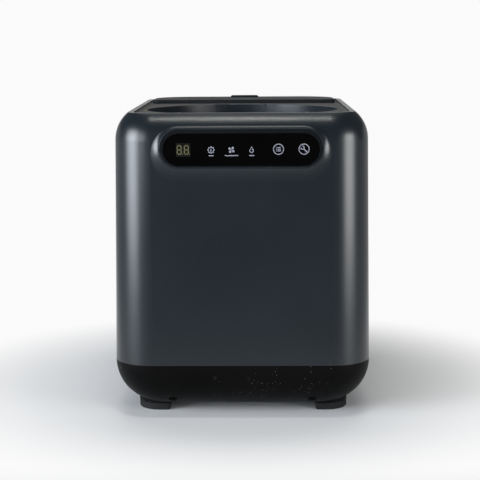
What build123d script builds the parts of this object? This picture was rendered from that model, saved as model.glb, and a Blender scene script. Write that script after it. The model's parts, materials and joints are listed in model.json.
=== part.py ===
from build123d import *
import math
import os

# Electric food waste composter, upright bench-top type.
# Millimetres. Origin on the floor at the middle of the footprint, +Z up, front towards -Y.

# ---- casing -------------------------------------------------------------------------------
side_land = 28.5              # from the well out to the seam at each side
front_land = 25.0             # from the front face back to the well
deck_bridge = 16.0            # deck between the well and the filter cap
rear_land = 17.0              # from the filter cap back to the rear face
seam_height = 56.0            # seam above the floor
rim_height = 304.0            # flat rim at the top of the shell
side_draft = 0.75             # degrees that each wall leans in towards the top
corner_radius = 40.0          # upright corners in plan
top_edge_radius = 35.0        # rounding between walls and rim
top_edge_drop = 27.0          # rounding starts this far below the rim
shell_wall = 3.2
base_arc_radius = 48.0        # the base curves in under the machine as a quarter round
base_wall = 4.5
base_corner_shrink = 0.6      # how fast the base's plan corners tighten towards the underside
base_steps = 7                # sections that shape the base's quarter round
lip_height = 7.0              # locating lip of the base, inside the shell
lip_thickness = 2.0
fit_gap = 0.3                 # gap round pieces that drop into one another
slip_gap = 0.1                # closer gap, for snug pieces

# ---- feet and base screws ---------------------------------------------------------------------
foot_side_inset = 37.5        # foot centre inside the seam
foot_inset = 57.0             # foot centre behind the front face
foot_width = 33.0
foot_outer_round = 22.0       # each foot is rounded wide at the casing's corner
foot_corner = 3.0             # its other corners
foot_edge = 0.9               # chamfer round its tread
foot_pad_height = 7.0
foot_plug_diameter = 8.0
foot_plug_length = 4.0
screw_side_inset = 58.0
screw_inset = 20.0
screw_diameter = 3.5
screw_head_diameter = 7.0
screw_head_height = 2.6
screw_pocket_diameter = 9.0
screw_seat_height = 30.0      # height of the screw head's seat
tower_diameter = 13.0
tower_top = 36.0
lip_root = 8.0                # lip's foot inside the base wall
post_diameter = 10.0
post_height = 40.0
post_rib_width = 3.0
rib_clear = 1.0               # rib above the lip
screw_bite = 20.0             # screw length past its seat

# ---- control panel ----------------------------------------------------------------------------
panel_drop = 33.1             # panel centre below the rim
bezel_side = 3.7              # bezel band beside the lens
bezel_band = 3.1              # mean bezel band above and below the lens
boss_height = 3.0             # how far the raised pad stands off the front face
boss_land = 1.0               # pad left around the bezel
boss_spread_side = 8.0        # how far the pad's soft slope runs out, each way
boss_spread_top = 1.6
boss_spread_bottom = 14.0
boss_steps = 8
bezel_depth = 3.0
bezel_proud = 0.6
bezel_edge = 0.5              # small round on the bezel's outer edge
lens_width = 151.6
lens_rise = 31.4
lens_drop = 1.4               # lens centre below the bezel centre
lens_recess = 0.4
window_margin = 4.0           # ledge that the lens sits on
board_gap = 5.0               # panel board behind the front wall
board_thickness = 1.6
digit_inset = 17.6            # digits' centre inside the lens' left end
digit_width = 16.6
digit_rise = 13.8
lamp_spots = (-30.8, -10.9, 8.7)
lamp_size = 5.0
lamp_thickness = 1.2
key_insets = (41.5, 16.8)     # key centres inside the lens' right end
key_spring_diameter = 7.0
key_spring_wall = 1.0
standoff_diameter = 5.0
standoff_inset = 8.0

# ---- top deck and well --------------------------------------------------------------------------
deck_drop = 2.0               # deck below the rim
deck_thickness = 2.5
well_gap = 3.5                # well's edge outside the bucket's flange
collar_height = 11.0
collar_wall = 2.0
notch_angles = (72.0, 104.0, 252.0, 284.0)   # lid bayonet slots, around the collar
notch_width = 15.0
notch_depth = 3.5
notch_cut = 1.2
mark_diameter = 3.0
mark_angle = 193.0
mark_thickness = 0.3

# ---- bucket, bail and stirring blades -----------------------------------------------------------
bucket_radius = 86.0
bucket_wall = 2.0
bucket_floor = 3.0
bucket_bottom = 108.0
flange_drop = 13.5            # top of the bucket's flange below the deck
bucket_flange_out = 10.0
bucket_flange_thickness = 2.5
bucket_floor_round = 8.0
neck_radius = 13.0            # raised neck around the stirring shaft
neck_top = 132.0
bush_wall = 3.0
shaft_radius = 6.0
running_gap = 0.05            # radial gap of a shaft in its bush
bail_inset = 2.0              # bail's middle line inside the bucket's outer wall
bail_wire = 5.0
bail_pin_diameter = 4.0
bail_pin_gap = 0.1
bail_lift = 5.0               # bail's axis above the bucket's flange
bail_pin_length = 7.0
ear_thickness = 4.0
ear_width = 11.0
ear_above_axis = 4.5
ear_gap = 0.5                 # between the bail's ends and the ears
grip_diameter = 8.6
grip_half_angle = 20.0
hub_radius = 21.0
hub_wall_gap = 1.0            # hub bell clear of the neck
hub_bottom = 113.0
hub_top = 152.0
hub_taper = 6.0
arm_taper = 12.0
arm_gap = 4.0                 # lower arms clear of the bucket's wall
arm_width = 14.0
arm_height = 9.0
arm_angles = (0.0, 120.0, 240.0)
upper_arm_reach = 62.0
upper_arm_angles = (60.0, 240.0)
upper_arm_bottom = 141.0
fixed_blade_bottom = 127.0
fixed_blade_height = 8.0
fixed_blade_inner = 48.0
fixed_blade_width = 9.0
fixed_blade_angles = (30.0, 150.0, 270.0)
nut_height = 9.0
nut_across = 20.0             # across the corners

# ---- heated chamber --------------------------------------------------------------------------------
chamber_gap = 2.0             # around the bucket
chamber_wall = 2.0
chamber_bottom = 102.0
chamber_flange_out = 14.0
chamber_flange_thickness = 2.5
chamber_screw_out = 0.8       # ring of screws outside the well's edge
chamber_screw_angles = (45.0, 135.0, 225.0, 315.0)
chamber_screw_diameter = 3.0
chamber_screw_head = 5.4
chamber_screw_head_height = 2.0
chamber_screw_length = 11.0
deck_post_radius = 3.2
coupling_hole_radius = 21.0
heater_bottom = 114.0
heater_height = 46.0
heater_thickness = 2.5
wrap_thickness = 6.0
wrap_drop = 36.0              # top of the wrap below the chamber's flange
wrap_slit = 14.0              # open slit in the wrap, for the sensor leads
sensor_ring = 60.0            # radius that the sensor and the fuse lie on
sensor_angle = 200.0
fuse_angle = 330.0
sensor_diameter = 12.0
sensor_height = 7.0
fuse_width = 22.0
fuse_depth = 8.0
fuse_height = 6.0

# ---- drive -----------------------------------------------------------------------------------------
case_bottom = 19.0
case_wall = 3.0
case_split = 40.0
case_top = 60.0
case_margin = 3.0             # inside the case, around the gears
gear_gap = 2.0                # between gear layers
output_teeth = 60
output_module = 1.5
middle_teeth = 72
middle_module = 1.25
first_teeth = 72
first_module = 1.0
pinion_teeth = 18
output_width = 12.0
middle_width = 8.0
first_width = 6.0
backlash = 0.28
pressure_angle = 20.0
addendum = 0.9                # in modules
dedendum = 1.25
motor_x = -45.0
motor_behind_well = 148.0
second_axis_turn = 12.0       # degrees that the gear train bends away from the straight line
pin_radius = 3.0
gear_end_gap = 0.5            # a gear's collars from the case walls
jaw_count = 3
dog_disc = 6.0
dog_radius = 16.0
jaw_inner = 8.0
jaw_height = 8.0
jaw_angle = 48.0
jaw_tip_gap = 1.5
coupling_disc = 5.0
bearing_outer = 13.0
bearing_width = 7.0
motor_radius = 30.0
motor_wall = 2.0
motor_length = 84.0
motor_shaft_radius = 2.5
armature_radius = 22.0
armature_length = 52.0
magnet_thickness = 4.0
case_screw_diameter = 3.0
case_lug_radius = 5.0
lug_overlap = 1.0
motor_hole_gap = 4.0          # round the motor's shaft, in the case's top
post_root = 1.0               # gearbox posts' foot inside the base's floor

# ---- filter, fan and duct --------------------------------------------------------------------------
cap_depth = 78.0              # filter cap, front to rear
cap_side_gap = 3.9            # cap inside the shell's mouth
cap_front_corner = 6.0
cap_rear_corner = 40.0
cap_proud = 2.3               # cap above the rim
cap_thickness = 2.0
cap_skirt = 1.6
cap_edge = 0.8
tab_width = 33.0
tab_depth = 12.0
tab_height = 1.7
tab_chamfer = 1.6
bay_side_step = 13.0          # filter bay's inside in from the cap's edges
bay_front_step = 6.5
bay_rear_step = 9.5
bay_wall = 2.0
bay_floor_top = 162.0
cassette_gap = 1.5
cassette_wall = 2.0
cassette_corner = 4.0
gasket_thickness = 1.0
vent_slot_width = 4.0
vent_slot_pitch = 8.0
vent_slot_length = 40.0
floor_slots = 9
vent_behind_well = 86.0
cassette_inlet_slots = 8      # in each half
cassette_outlet_slots = 5
carbon_clear = 0.5
fan_x = 42.0
fan_size = 66.0
fan_depth = 25.0
fan_bore_radius = 30.0
fan_corner = 3.0
fan_throat_inset = 2.0        # opening in the bay's floor, inside the fan's bore
fan_tip_gap = 1.5
fan_hub_radius = 14.0
fan_hub_height = 14.0
fan_blades = 7
fan_blade_thickness = 1.6
fan_blade_pitch = 35.0
fan_boss_height = 5.0
fan_spoke_width = 4.0
fan_pin_radius = 1.5
plenum_height = 20.0
plenum_wall = 2.0
duct_x = 30.0
duct_width = 36.0
duct_gap = 3.2                # duct behind the wrap
duct_wall = 1.5
duct_drop = 10.0              # duct's top below the chamber's flange
port_height = 14.0

# ---- rear wall -------------------------------------------------------------------------------------
grille_drop = 82.0            # grille's centre below the rim
grille_width = 120.0
grille_rise = 56.0
grille_plate = 2.7
grille_overlap = 6.0
grille_bar = 3.0
grille_bars = 7
inlet_side_inset = 48.0
inlet_height = 92.0
inlet_width = 48.0
inlet_rise = 27.0
inlet_flange = 1.3
inlet_corner = 2.0
inlet_body_depth = 24.0
inlet_body_wall = 2.0
inlet_hole_gap = 1.25
inlet_socket_depth = 16.0
inlet_socket_width = 24.0
inlet_socket_rise = 16.5
inlet_pin_width = 4.0
inlet_pin_thickness = 2.0
inlet_pin_length = 12.0
inlet_pin_pitch = 7.0
inlet_pin_offset = 2.0        # outer pins above the middle, middle pin below it

# ---- electronics -----------------------------------------------------------------------------------
board_standoff = 11.3         # least length of the main board's standoffs
board_rear_inset = 69.5       # board's middle ahead of the rear face
main_board_length = 84.0
main_board_rise = 100.0
main_board_bottom = 70.0
board_screw_diameter = 2.0
board_screw_head = 4.0
board_screw_length = 7.0
part_gap = 6.0                # between parts on the main board
reed_width = 14.0
reed_depth = 6.0
reed_height = 5.0
reed_angle = 318.0
reed_out = 10.5               # lid sensor outside the well's edge

# ---- worked out ------------------------------------------------------------------------------------
lean = math.tan(math.radians(side_draft))
bucket_flange_radius = bucket_radius + bucket_flange_out
well_radius = bucket_flange_radius + well_gap
seam_width = 2 * (well_radius + side_land)
seam_depth = front_land + 2 * well_radius + deck_bridge + cap_depth + rear_land
front_y = -seam_depth / 2
crown_start = rim_height - top_edge_drop
crown_top = crown_start + top_edge_radius
base_bottom = seam_height - base_arc_radius
well_y = front_y + front_land + well_radius
deck_top = rim_height - deck_drop
deck_bottom = deck_top - deck_thickness
collar_bottom = deck_top - collar_height
floor_top = base_bottom + base_wall
foot_x = seam_width / 2 - foot_side_inset
screw_x = seam_width / 2 - screw_side_inset
panel_height = rim_height - panel_drop
panel_width = lens_width + 2 * bezel_side
panel_rise = lens_rise + 2 * bezel_band
bucket_flange_top = deck_top - flange_drop
chamber_top = bucket_flange_top - bucket_flange_thickness
chamber_outer = bucket_radius + chamber_gap + chamber_wall
wrap_inner = chamber_outer + heater_thickness + fit_gap
motor_y = well_y + motor_behind_well
cap_front = well_y + well_radius + deck_bridge
cap_rear = cap_front + cap_depth
cap_top = rim_height + cap_proud
bay_front = cap_front + bay_front_step
bay_rear = cap_rear - bay_rear_step
bay_middle = (bay_front + bay_rear) / 2
bay_span = bay_rear - bay_front
fan_place = (fan_x, bay_middle)
grille_height = rim_height - grille_drop
inlet_x = inlet_side_inset - seam_width / 2
main_board_y = seam_depth / 2 - board_rear_inset
well_place = (0, well_y)
motor_place = (motor_x, motor_y)


def half_width(height):
    """Half the casing's outer width at a height on its straight wall."""
    return seam_width / 2 - (height - seam_height) * lean


def half_depth(height):
    """Half the casing's outer depth at a height on its straight wall."""
    return seam_depth / 2 - (height - seam_height) * lean


def arc_inset(radius, rise):
    """How far a tangent arc has come in after this rise."""
    return radius - math.sqrt(radius ** 2 - rise ** 2)


def polar(centre, radius, degrees):
    """A point at this radius and angle from the centre."""
    angle = math.radians(degrees)
    return (centre[0] + radius * math.cos(angle), centre[1] + radius * math.sin(angle))


def all_corners(x, y):
    """The four mirrored places of a point."""
    return [(sx * x, sy * y) for sx in (-1, 1) for sy in (-1, 1)]


def save(builder, name):
    """Labels a finished piece and writes it under its own name."""
    builder.part.label = name
    export_step(builder.part, f"parts/{name}.step")


def circle_meet(first, first_radius, second, second_radius):
    """The point at one given distance from each of two places, on their left side."""
    dx = second[0] - first[0]
    dy = second[1] - first[1]
    span = math.hypot(dx, dy)
    along = (first_radius ** 2 - second_radius ** 2 + span ** 2) / (2 * span)
    aside = math.sqrt(first_radius ** 2 - along ** 2)
    return (first[0] + (along * dx - aside * dy) / span,
            first[1] + (along * dy + aside * dx) / span)


def pitch_radius(teeth, module):
    """Pitch radius of a gear."""
    return teeth * module / 2


def meshing_turn(first, first_teeth, first_turn, second, second_teeth, module):
    """Degrees that the second gear is turned so that its gap faces the first gear's tooth."""
    line = math.atan2(second[1] - first[1], second[0] - first[0])
    slip = pitch_radius(first_teeth, module) * (math.radians(first_turn) - line)
    slip += math.pi * module / 2
    return math.degrees(line + math.pi - slip / pitch_radius(second_teeth, module))


def gear_points(teeth, module, turn):
    """Outline of an involute gear, its first tooth at the given turn."""
    pitch = pitch_radius(teeth, module)
    base = pitch * math.cos(math.radians(pressure_angle))
    root = pitch - dedendum * module
    half_tooth = (math.pi * module / 2 - backlash) / (2 * pitch)
    pitch_roll = math.tan(math.radians(pressure_angle)) - math.radians(pressure_angle)
    flank = []
    for radius in (max(base, root), pitch, pitch + addendum * module):
        lean_angle = math.acos(min(1, base / radius))
        flank.append((radius, half_tooth + pitch_roll - (math.tan(lean_angle) - lean_angle)))
    if root < base:
        flank.insert(0, (root, flank[0][1]))
    points = []
    for tooth in range(teeth):
        middle = math.radians(turn) + 2 * math.pi * tooth / teeth
        for radius, angle in flank:
            points.append((radius * math.cos(middle - angle), radius * math.sin(middle - angle)))
        for radius, angle in reversed(flank):
            points.append((radius * math.cos(middle + angle), radius * math.sin(middle + angle)))
    return points


output_to_second = pitch_radius(output_teeth + pinion_teeth, output_module)
second_to_first = pitch_radius(middle_teeth + pinion_teeth, middle_module)
first_to_motor = pitch_radius(first_teeth + pinion_teeth, first_module)
motor_line = math.degrees(math.atan2(motor_y - well_y, motor_x))
second_place = polar(well_place, output_to_second, motor_line + second_axis_turn)
first_place = circle_meet(motor_place, first_to_motor, second_place, second_to_first)

output_level = case_bottom + case_wall + gear_gap
middle_level = output_level + output_width + gear_gap
first_level = middle_level + middle_width + gear_gap
second_pinion_turn = meshing_turn(well_place, output_teeth, 0, second_place, pinion_teeth, output_module)
first_pinion_turn = meshing_turn(second_place, middle_teeth, 0, first_place, pinion_teeth, middle_module)
motor_pinion_turn = meshing_turn(first_place, first_teeth, 0, motor_place, pinion_teeth, first_module)

gear_radii = {
    well_place: pitch_radius(output_teeth, output_module) + output_module,
    second_place: pitch_radius(middle_teeth, middle_module) + middle_module,
    first_place: pitch_radius(first_teeth, first_module) + first_module,
    motor_place: motor_radius - case_margin,
}


def case_outline(extra):
    """Plan of the gearbox: a hull round every gear, this far outside them."""
    with BuildSketch(Plane.XY) as outline:
        for place, radius in gear_radii.items():
            with Locations(place):
                Circle(radius + extra)
        make_hull()
    return outline.sketch


lug_out = case_margin + case_wall + case_lug_radius - lug_overlap
lug_places = [
    polar(well_place, gear_radii[well_place] + lug_out, motor_line + 180),
    polar(well_place, gear_radii[well_place] + lug_out, motor_line + 120),
    polar(well_place, gear_radii[well_place] + lug_out, motor_line - 120),
    polar(motor_place, gear_radii[motor_place] + lug_out, motor_line + 50),
    polar(motor_place, gear_radii[motor_place] + lug_out, motor_line - 50),
]

os.makedirs("parts", exist_ok=True)

# ======================================= casing =======================================

# the hollow inside the shell, one wall in from the outer form
with BuildPart() as shell_core:
    with BuildSketch(Plane.XY.offset(seam_height)):
        RectangleRounded(seam_width - 2 * shell_wall, seam_depth - 2 * shell_wall,
                         corner_radius - shell_wall)
    extrude(amount=crown_top - shell_wall - seam_height, taper=side_draft)
    fillet(shell_core.edges().group_by(Axis.Z)[-1], top_edge_radius - shell_wall)

# the flat front face at the panel, leaning back with the wall
front_face = Plane(
    origin=(0, -half_depth(panel_height), panel_height),
    x_dir=(1, 0, 0),
    z_dir=(0, -math.cos(math.radians(side_draft)), math.sin(math.radians(side_draft))),
)
lens_shift = (0, -lens_drop)
boss_top = panel_height + panel_rise / 2 + boss_land + boss_spread_top
boss_root = shell_wall + arc_inset(top_edge_radius, boss_top - crown_start)

# raised pad around the panel, its slope steep at the bezel and easing out to the wall
with BuildPart() as panel_boss:
    for step in range(boss_steps):
        run = 0.1 + 0.9 * step / (boss_steps - 1)
        height = boss_height * run ** 2
        out_side = boss_land + boss_spread_side * (1 - run)
        out_top = boss_land + boss_spread_top * (1 - run)
        out_bottom = boss_land + boss_spread_bottom * (1 - run)
        with BuildSketch(front_face.offset(height)):
            with Locations((0, (out_top - out_bottom) / 2)):
                SlotOverall(panel_width + 2 * out_side, panel_rise + out_top + out_bottom)
    loft()
    foot_face = panel_boss.faces().sort_by(Axis.Y)[-1]
    extrude(foot_face, amount=boss_root)

core_inset = shell_wall + arc_inset(top_edge_radius - shell_wall, top_edge_drop)
mouth_half_width = half_width(crown_start) - core_inset
mouth_half_depth = half_depth(crown_start) - core_inset
mouth_corner = corner_radius - (crown_start - seam_height) * lean - core_inset
cap_half_width = mouth_half_width - cap_side_gap
bay_half_width = cap_half_width - bay_side_step
main_board_x = shell_wall + board_standoff - half_width(main_board_bottom + main_board_rise)

post_bottom = tower_top
post_places = all_corners(screw_x, -front_y - screw_inset)
board_hole_places = [
    (main_board_y + side * (main_board_length / 2 - standoff_diameter),
     main_board_bottom + main_board_rise / 2 + up * (main_board_rise / 2 - standoff_diameter))
    for side in (-1, 1) for up in (-1, 1)
]
inlet_y = half_depth(inlet_height)
inlet_body_width = inlet_socket_width + 2 * inlet_body_wall
inlet_body_rise = inlet_socket_rise + 2 * inlet_body_wall
grille_y = half_depth(grille_height)

with BuildPart() as outer_shell:
    with BuildSketch(Plane.XY.offset(seam_height)):
        RectangleRounded(seam_width, seam_depth, corner_radius)
    extrude(amount=crown_top - seam_height, taper=side_draft)
    fillet(outer_shell.edges().group_by(Axis.Z)[-1], top_edge_radius)
    add(panel_boss.part)
    add(shell_core.part, mode=Mode.SUBTRACT)
    # the crown is cut flat at the rim
    with BuildSketch(Plane.XY.offset(rim_height)):
        Rectangle(seam_width, seam_depth)
    extrude(amount=crown_top, mode=Mode.SUBTRACT)
    # pocket for the bezel and window for the display behind the lens
    with BuildSketch(front_face.offset(boss_height)):
        SlotOverall(panel_width + 2 * slip_gap, panel_rise + 2 * slip_gap)
    extrude(amount=-(bezel_depth - bezel_proud), mode=Mode.SUBTRACT)
    with BuildSketch(front_face.offset(boss_height)):
        with Locations(lens_shift):
            SlotOverall(lens_width - 2 * window_margin, lens_rise - 2 * window_margin)
    extrude(amount=-(boss_height + 2 * shell_wall + board_gap), mode=Mode.SUBTRACT)
    # screw posts, each tied to the wall by a rib
    with BuildSketch(Plane.XY.offset(post_bottom)):
        with Locations(*post_places):
            Circle(post_diameter / 2)
    extrude(amount=post_height)
    rib_run = screw_inset - shell_wall / 2
    rib_bottom = seam_height + lip_height + rib_clear
    with BuildSketch(Plane.XY.offset(rib_bottom)):
        for x, y in post_places:
            side = 1 if y > 0 else -1
            with Locations((x, y + side * rib_run / 2)):
                Rectangle(post_rib_width, rib_run)
    extrude(amount=post_bottom + post_height - rib_bottom)
    with BuildSketch(Plane.XY.offset(post_bottom)):
        with Locations(*post_places):
            Circle(screw_diameter / 2 + running_gap)
    extrude(amount=screw_bite, mode=Mode.SUBTRACT)
    # standoffs for the panel board
    with BuildSketch(front_face.offset(-shell_wall - board_gap)):
        for x in (-1, 1):
            with Locations((x * (lens_width / 2 + standoff_inset), lens_shift[1])):
                Circle(standoff_diameter / 2)
    extrude(amount=board_gap + shell_wall / 2)
    # standoffs for the main board, on the left wall
    with BuildSketch(Plane.YZ.offset(main_board_x - board_thickness / 2)):
        with Locations(*board_hole_places):
            Circle(standoff_diameter / 2)
    extrude(amount=-(board_standoff + shell_wall / 2 - board_thickness / 2))
    with BuildSketch(Plane.YZ.offset(main_board_x)):
        with Locations(*board_hole_places):
            Circle(board_screw_diameter / 2)
    extrude(amount=-(board_screw_length + board_thickness), mode=Mode.SUBTRACT)
    # openings in the rear wall
    with BuildSketch(Plane.XZ.offset(-half_depth(seam_height))):
        with Locations((0, grille_height)):
            RectangleRounded(grille_width, grille_rise, grille_bar)
        with Locations((inlet_x, inlet_height)):
            RectangleRounded(inlet_body_width + 2 * inlet_hole_gap,
                             inlet_body_rise + 2 * inlet_hole_gap, inlet_corner)
    extrude(amount=4 * shell_wall, mode=Mode.SUBTRACT)
save(outer_shell, "outer_shell")


def base_section(step, wall):
    """Height, width, depth and corner of the base's plan at one step round its underside, one wall in."""
    angle = math.radians(90 * step / base_steps)
    inset = wall + (base_arc_radius - wall) * (1 - math.cos(angle))
    height = seam_height - (base_arc_radius - wall) * math.sin(angle)
    corner = corner_radius - wall - base_corner_shrink * (inset - wall)
    return height, seam_width - 2 * inset, seam_depth - 2 * inset, corner


with BuildPart() as base_core:
    for step in range(base_steps + 1):
        height, width, depth, corner = base_section(step, base_wall)
        with BuildSketch(Plane.XY.offset(height)):
            RectangleRounded(width, depth, corner)
    loft()

with BuildPart() as base_form:
    for step in range(base_steps + 1):
        height, width, depth, corner = base_section(step, 0)
        with BuildSketch(Plane.XY.offset(height)):
            RectangleRounded(width, depth, corner)
    loft()

# screw towers and gearbox posts, their feet shaped to the base's underside
with BuildPart() as base_posts:
    with BuildSketch(Plane.XY.offset(base_bottom)):
        with Locations(*post_places):
            Circle(tower_diameter / 2)
    extrude(amount=tower_top - base_bottom)
    with BuildSketch(Plane.XY.offset(floor_top - post_root)):
        with Locations(*lug_places):
            Circle(case_lug_radius)
    extrude(amount=case_bottom - floor_top + post_root)
    add(base_form.part, mode=Mode.INTERSECT)

foot_places = all_corners(foot_x, -front_y - foot_inset)


def foot_plan(inset):
    """Plan of the four feet, drawn this far in."""
    def reach(corner):
        return abs(corner.X) + abs(corner.Y)

    with BuildSketch(Plane.XY) as plan:
        with Locations(*foot_places):
            Rectangle(foot_width - 2 * inset, foot_width - 2 * inset)
        fillet(plan.vertices().sort_by(reach)[:-4], foot_corner - inset)
        fillet(plan.vertices().sort_by(reach)[-4:], foot_outer_round - inset)
    return plan.sketch


foot_outline = foot_plan(0)
pad_outline = foot_plan(fit_gap)
lip_outer = shell_wall + lip_height * lean + fit_gap
with BuildPart() as base_skirt:
    add(base_form.part)
    # bosses for the feet
    with BuildSketch(Plane.XY.offset(foot_pad_height)):
        add(foot_outline)
    extrude(amount=seam_height / 2)
    add(base_core.part, mode=Mode.SUBTRACT)
    add(base_posts.part)
    # locating lip inside the shell
    with BuildSketch(Plane.XY.offset(seam_height - lip_root)):
        RectangleRounded(seam_width - 2 * lip_outer, seam_depth - 2 * lip_outer,
                         corner_radius - lip_outer)
        RectangleRounded(seam_width - 2 * (lip_outer + lip_thickness),
                         seam_depth - 2 * (lip_outer + lip_thickness),
                         corner_radius - lip_outer - lip_thickness, mode=Mode.SUBTRACT)
    extrude(amount=lip_root + lip_height)
    # pockets for the screws, from below
    with BuildSketch(Plane.XY):
        with Locations(*post_places):
            Circle(screw_pocket_diameter / 2)
    extrude(amount=screw_seat_height, mode=Mode.SUBTRACT)
    with BuildSketch(Plane.XY):
        with Locations(*post_places):
            Circle(screw_diameter / 2 + fit_gap)
    extrude(amount=tower_top, mode=Mode.SUBTRACT)
    # holes for the gearbox screws
    with BuildSketch(Plane.XY.offset(floor_top)):
        with Locations(*lug_places):
            Circle(case_screw_diameter / 2)
    extrude(amount=case_bottom - floor_top, mode=Mode.SUBTRACT)
    # sockets for the foot plugs
    with BuildSketch(Plane.XY.offset(foot_pad_height)):
        with Locations(*foot_places):
            Circle(foot_plug_diameter / 2 + slip_gap)
    extrude(amount=foot_plug_length + slip_gap, mode=Mode.SUBTRACT)
    # cooling slots in the floor, under the drive
    with BuildSketch(Plane.XY.offset(base_bottom)):
        with Locations((0, well_y + vent_behind_well)):
            with GridLocations(vent_slot_pitch, 0, floor_slots, 1):
                SlotOverall(vent_slot_length, vent_slot_width, rotation=90)
    extrude(amount=2 * base_wall, both=True, mode=Mode.SUBTRACT)
save(base_skirt, "base_skirt")

with BuildPart() as rubber_feet:
    with BuildSketch(Plane.XY):
        add(pad_outline)
    extrude(amount=foot_pad_height)
    with BuildSketch(Plane.XY.offset(foot_pad_height)):
        with Locations(*foot_places):
            Circle(foot_plug_diameter / 2)
    extrude(amount=foot_plug_length)
    chamfer(rubber_feet.edges().group_by(Axis.Z)[0], foot_edge)
save(rubber_feet, "rubber_feet")

with BuildPart() as base_screws:
    with BuildSketch(Plane.XY.offset(screw_seat_height - screw_head_height)):
        with Locations(*post_places):
            Circle(screw_head_diameter / 2)
    extrude(amount=screw_head_height)
    with BuildSketch(Plane.XY.offset(screw_seat_height)):
        with Locations(*post_places):
            Circle(screw_diameter / 2)
    extrude(amount=screw_bite)
save(base_screws, "base_screws")

# ==================================== control panel ====================================

bezel_back = boss_height + bezel_proud - bezel_depth
lens_front = boss_height + bezel_proud - lens_recess
digit_x = digit_inset - lens_width / 2
key_spots = [lens_width / 2 - inset for inset in key_insets]

with BuildPart() as panel_bezel:
    with BuildSketch(front_face.offset(bezel_back)):
        SlotOverall(panel_width, panel_rise)
    extrude(amount=bezel_depth)
    fillet(panel_bezel.edges().sort_by(Axis.Y)[:4], bezel_edge)
    with BuildSketch(front_face.offset(bezel_back)):
        with Locations(lens_shift):
            SlotOverall(lens_width + 2 * slip_gap, lens_rise + 2 * slip_gap)
    extrude(amount=bezel_depth, mode=Mode.SUBTRACT)
save(panel_bezel, "panel_bezel")

with BuildPart() as panel_lens:
    with BuildSketch(front_face.offset(bezel_back)):
        with Locations(lens_shift):
            SlotOverall(lens_width, lens_rise)
    extrude(amount=lens_front - bezel_back)
save(panel_lens, "panel_lens")

board_front = -shell_wall - board_gap
board_span = lens_width + 2 * standoff_inset + 2 * standoff_diameter
with BuildPart() as display_board:
    with BuildSketch(front_face.offset(board_front - board_thickness)):
        with Locations(lens_shift):
            RectangleRounded(board_span, lens_rise - 2 * window_margin, board_thickness)
    extrude(amount=board_thickness)
save(display_board, "display_board")

display_reach = bezel_back - board_front - fit_gap
with BuildPart() as digit_display:
    with BuildSketch(front_face.offset(board_front)):
        with Locations((digit_x, lens_shift[1])):
            Rectangle(digit_width, digit_rise)
    extrude(amount=display_reach)
save(digit_display, "digit_display")

with BuildPart() as indicator_lamps:
    with BuildSketch(front_face.offset(board_front)):
        with Locations(*[(x, lens_shift[1]) for x in lamp_spots]):
            Rectangle(lamp_size, lamp_size)
    extrude(amount=lamp_thickness)
save(indicator_lamps, "indicator_lamps")

with BuildPart() as touch_sleeves:
    with BuildSketch(front_face.offset(board_front)):
        with Locations(*[(x, lens_shift[1]) for x in key_spots]):
            Circle(key_spring_diameter / 2)
            Circle(key_spring_diameter / 2 - key_spring_wall, mode=Mode.SUBTRACT)
    extrude(amount=display_reach)
save(touch_sleeves, "touch_sleeves")

# ====================================== top deck =======================================

deck_corner = mouth_corner - fit_gap
chamber_screw_places = [polar(well_place, well_radius + chamber_screw_out, angle)
                        for angle in chamber_screw_angles]
reed_place = polar(well_place, well_radius + reed_out, reed_angle)

with BuildPart() as top_deck:
    with BuildSketch(Plane.XY.offset(deck_bottom)):
        RectangleRounded(2 * (mouth_half_width - fit_gap), 2 * (mouth_half_depth - fit_gap),
                         deck_corner)
    extrude(amount=deck_thickness)
    # collar that lines the mouth of the well
    with BuildSketch(Plane.XY.offset(collar_bottom)):
        with Locations(well_place):
            Circle(well_radius + collar_wall)
    extrude(amount=deck_bottom - collar_bottom)
    # posts for the screws that hold the chamber up
    with BuildSketch(Plane.XY.offset(chamber_top)):
        with Locations(*chamber_screw_places):
            Circle(deck_post_radius)
    extrude(amount=deck_bottom - chamber_top)
    with BuildSketch(Plane.XY.offset(collar_bottom)):
        with Locations(well_place):
            Circle(well_radius)
    extrude(amount=collar_height, mode=Mode.SUBTRACT)
    # slots where a lid's lugs drop in
    with BuildSketch(Plane.XY.offset(deck_top - notch_depth)):
        for angle in notch_angles:
            with Locations(polar(well_place, well_radius, angle)):
                Rectangle(2 * notch_cut, notch_width, rotation=angle)
    extrude(amount=notch_depth, mode=Mode.SUBTRACT)
    # mouth of the filter bay
    with BuildSketch(Plane.XY.offset(deck_bottom)):
        with Locations((0, bay_middle)):
            Rectangle(2 * bay_half_width, bay_span)
    extrude(amount=deck_thickness, mode=Mode.SUBTRACT)
    with BuildSketch(Plane.XY.offset(chamber_top)):
        with Locations(*chamber_screw_places):
            Circle(chamber_screw_diameter / 2 + running_gap)
    extrude(amount=chamber_screw_length - chamber_flange_thickness, mode=Mode.SUBTRACT)
    # shallow seat for the alignment mark
    with BuildSketch(Plane.XY.offset(deck_top - mark_thickness)):
        with Locations(polar(well_place, well_radius + mark_diameter, mark_angle)):
            Circle(mark_diameter / 2)
    extrude(amount=mark_thickness, mode=Mode.SUBTRACT)
    chamfer(top_deck.edges().filter_by(GeomType.CIRCLE).group_by(Axis.Z)[-1]
            .filter_by(lambda e: e.radius > well_radius - 1), fit_gap)
save(top_deck, "top_deck")

with BuildPart() as alignment_mark:
    with BuildSketch(Plane.XY.offset(deck_top - mark_thickness)):
        with Locations(polar(well_place, well_radius + mark_diameter, mark_angle)):
            Circle(mark_diameter / 2)
    extrude(amount=mark_thickness)
save(alignment_mark, "alignment_mark")

with BuildPart() as lid_sensor:
    with BuildSketch(Plane.XY.offset(deck_bottom - reed_height)):
        with Locations(reed_place):
            Rectangle(reed_width, reed_depth, rotation=reed_angle + 90)
    extrude(amount=reed_height)
save(lid_sensor, "lid_sensor")

# ================================ bucket and stirring ==================================

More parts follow.
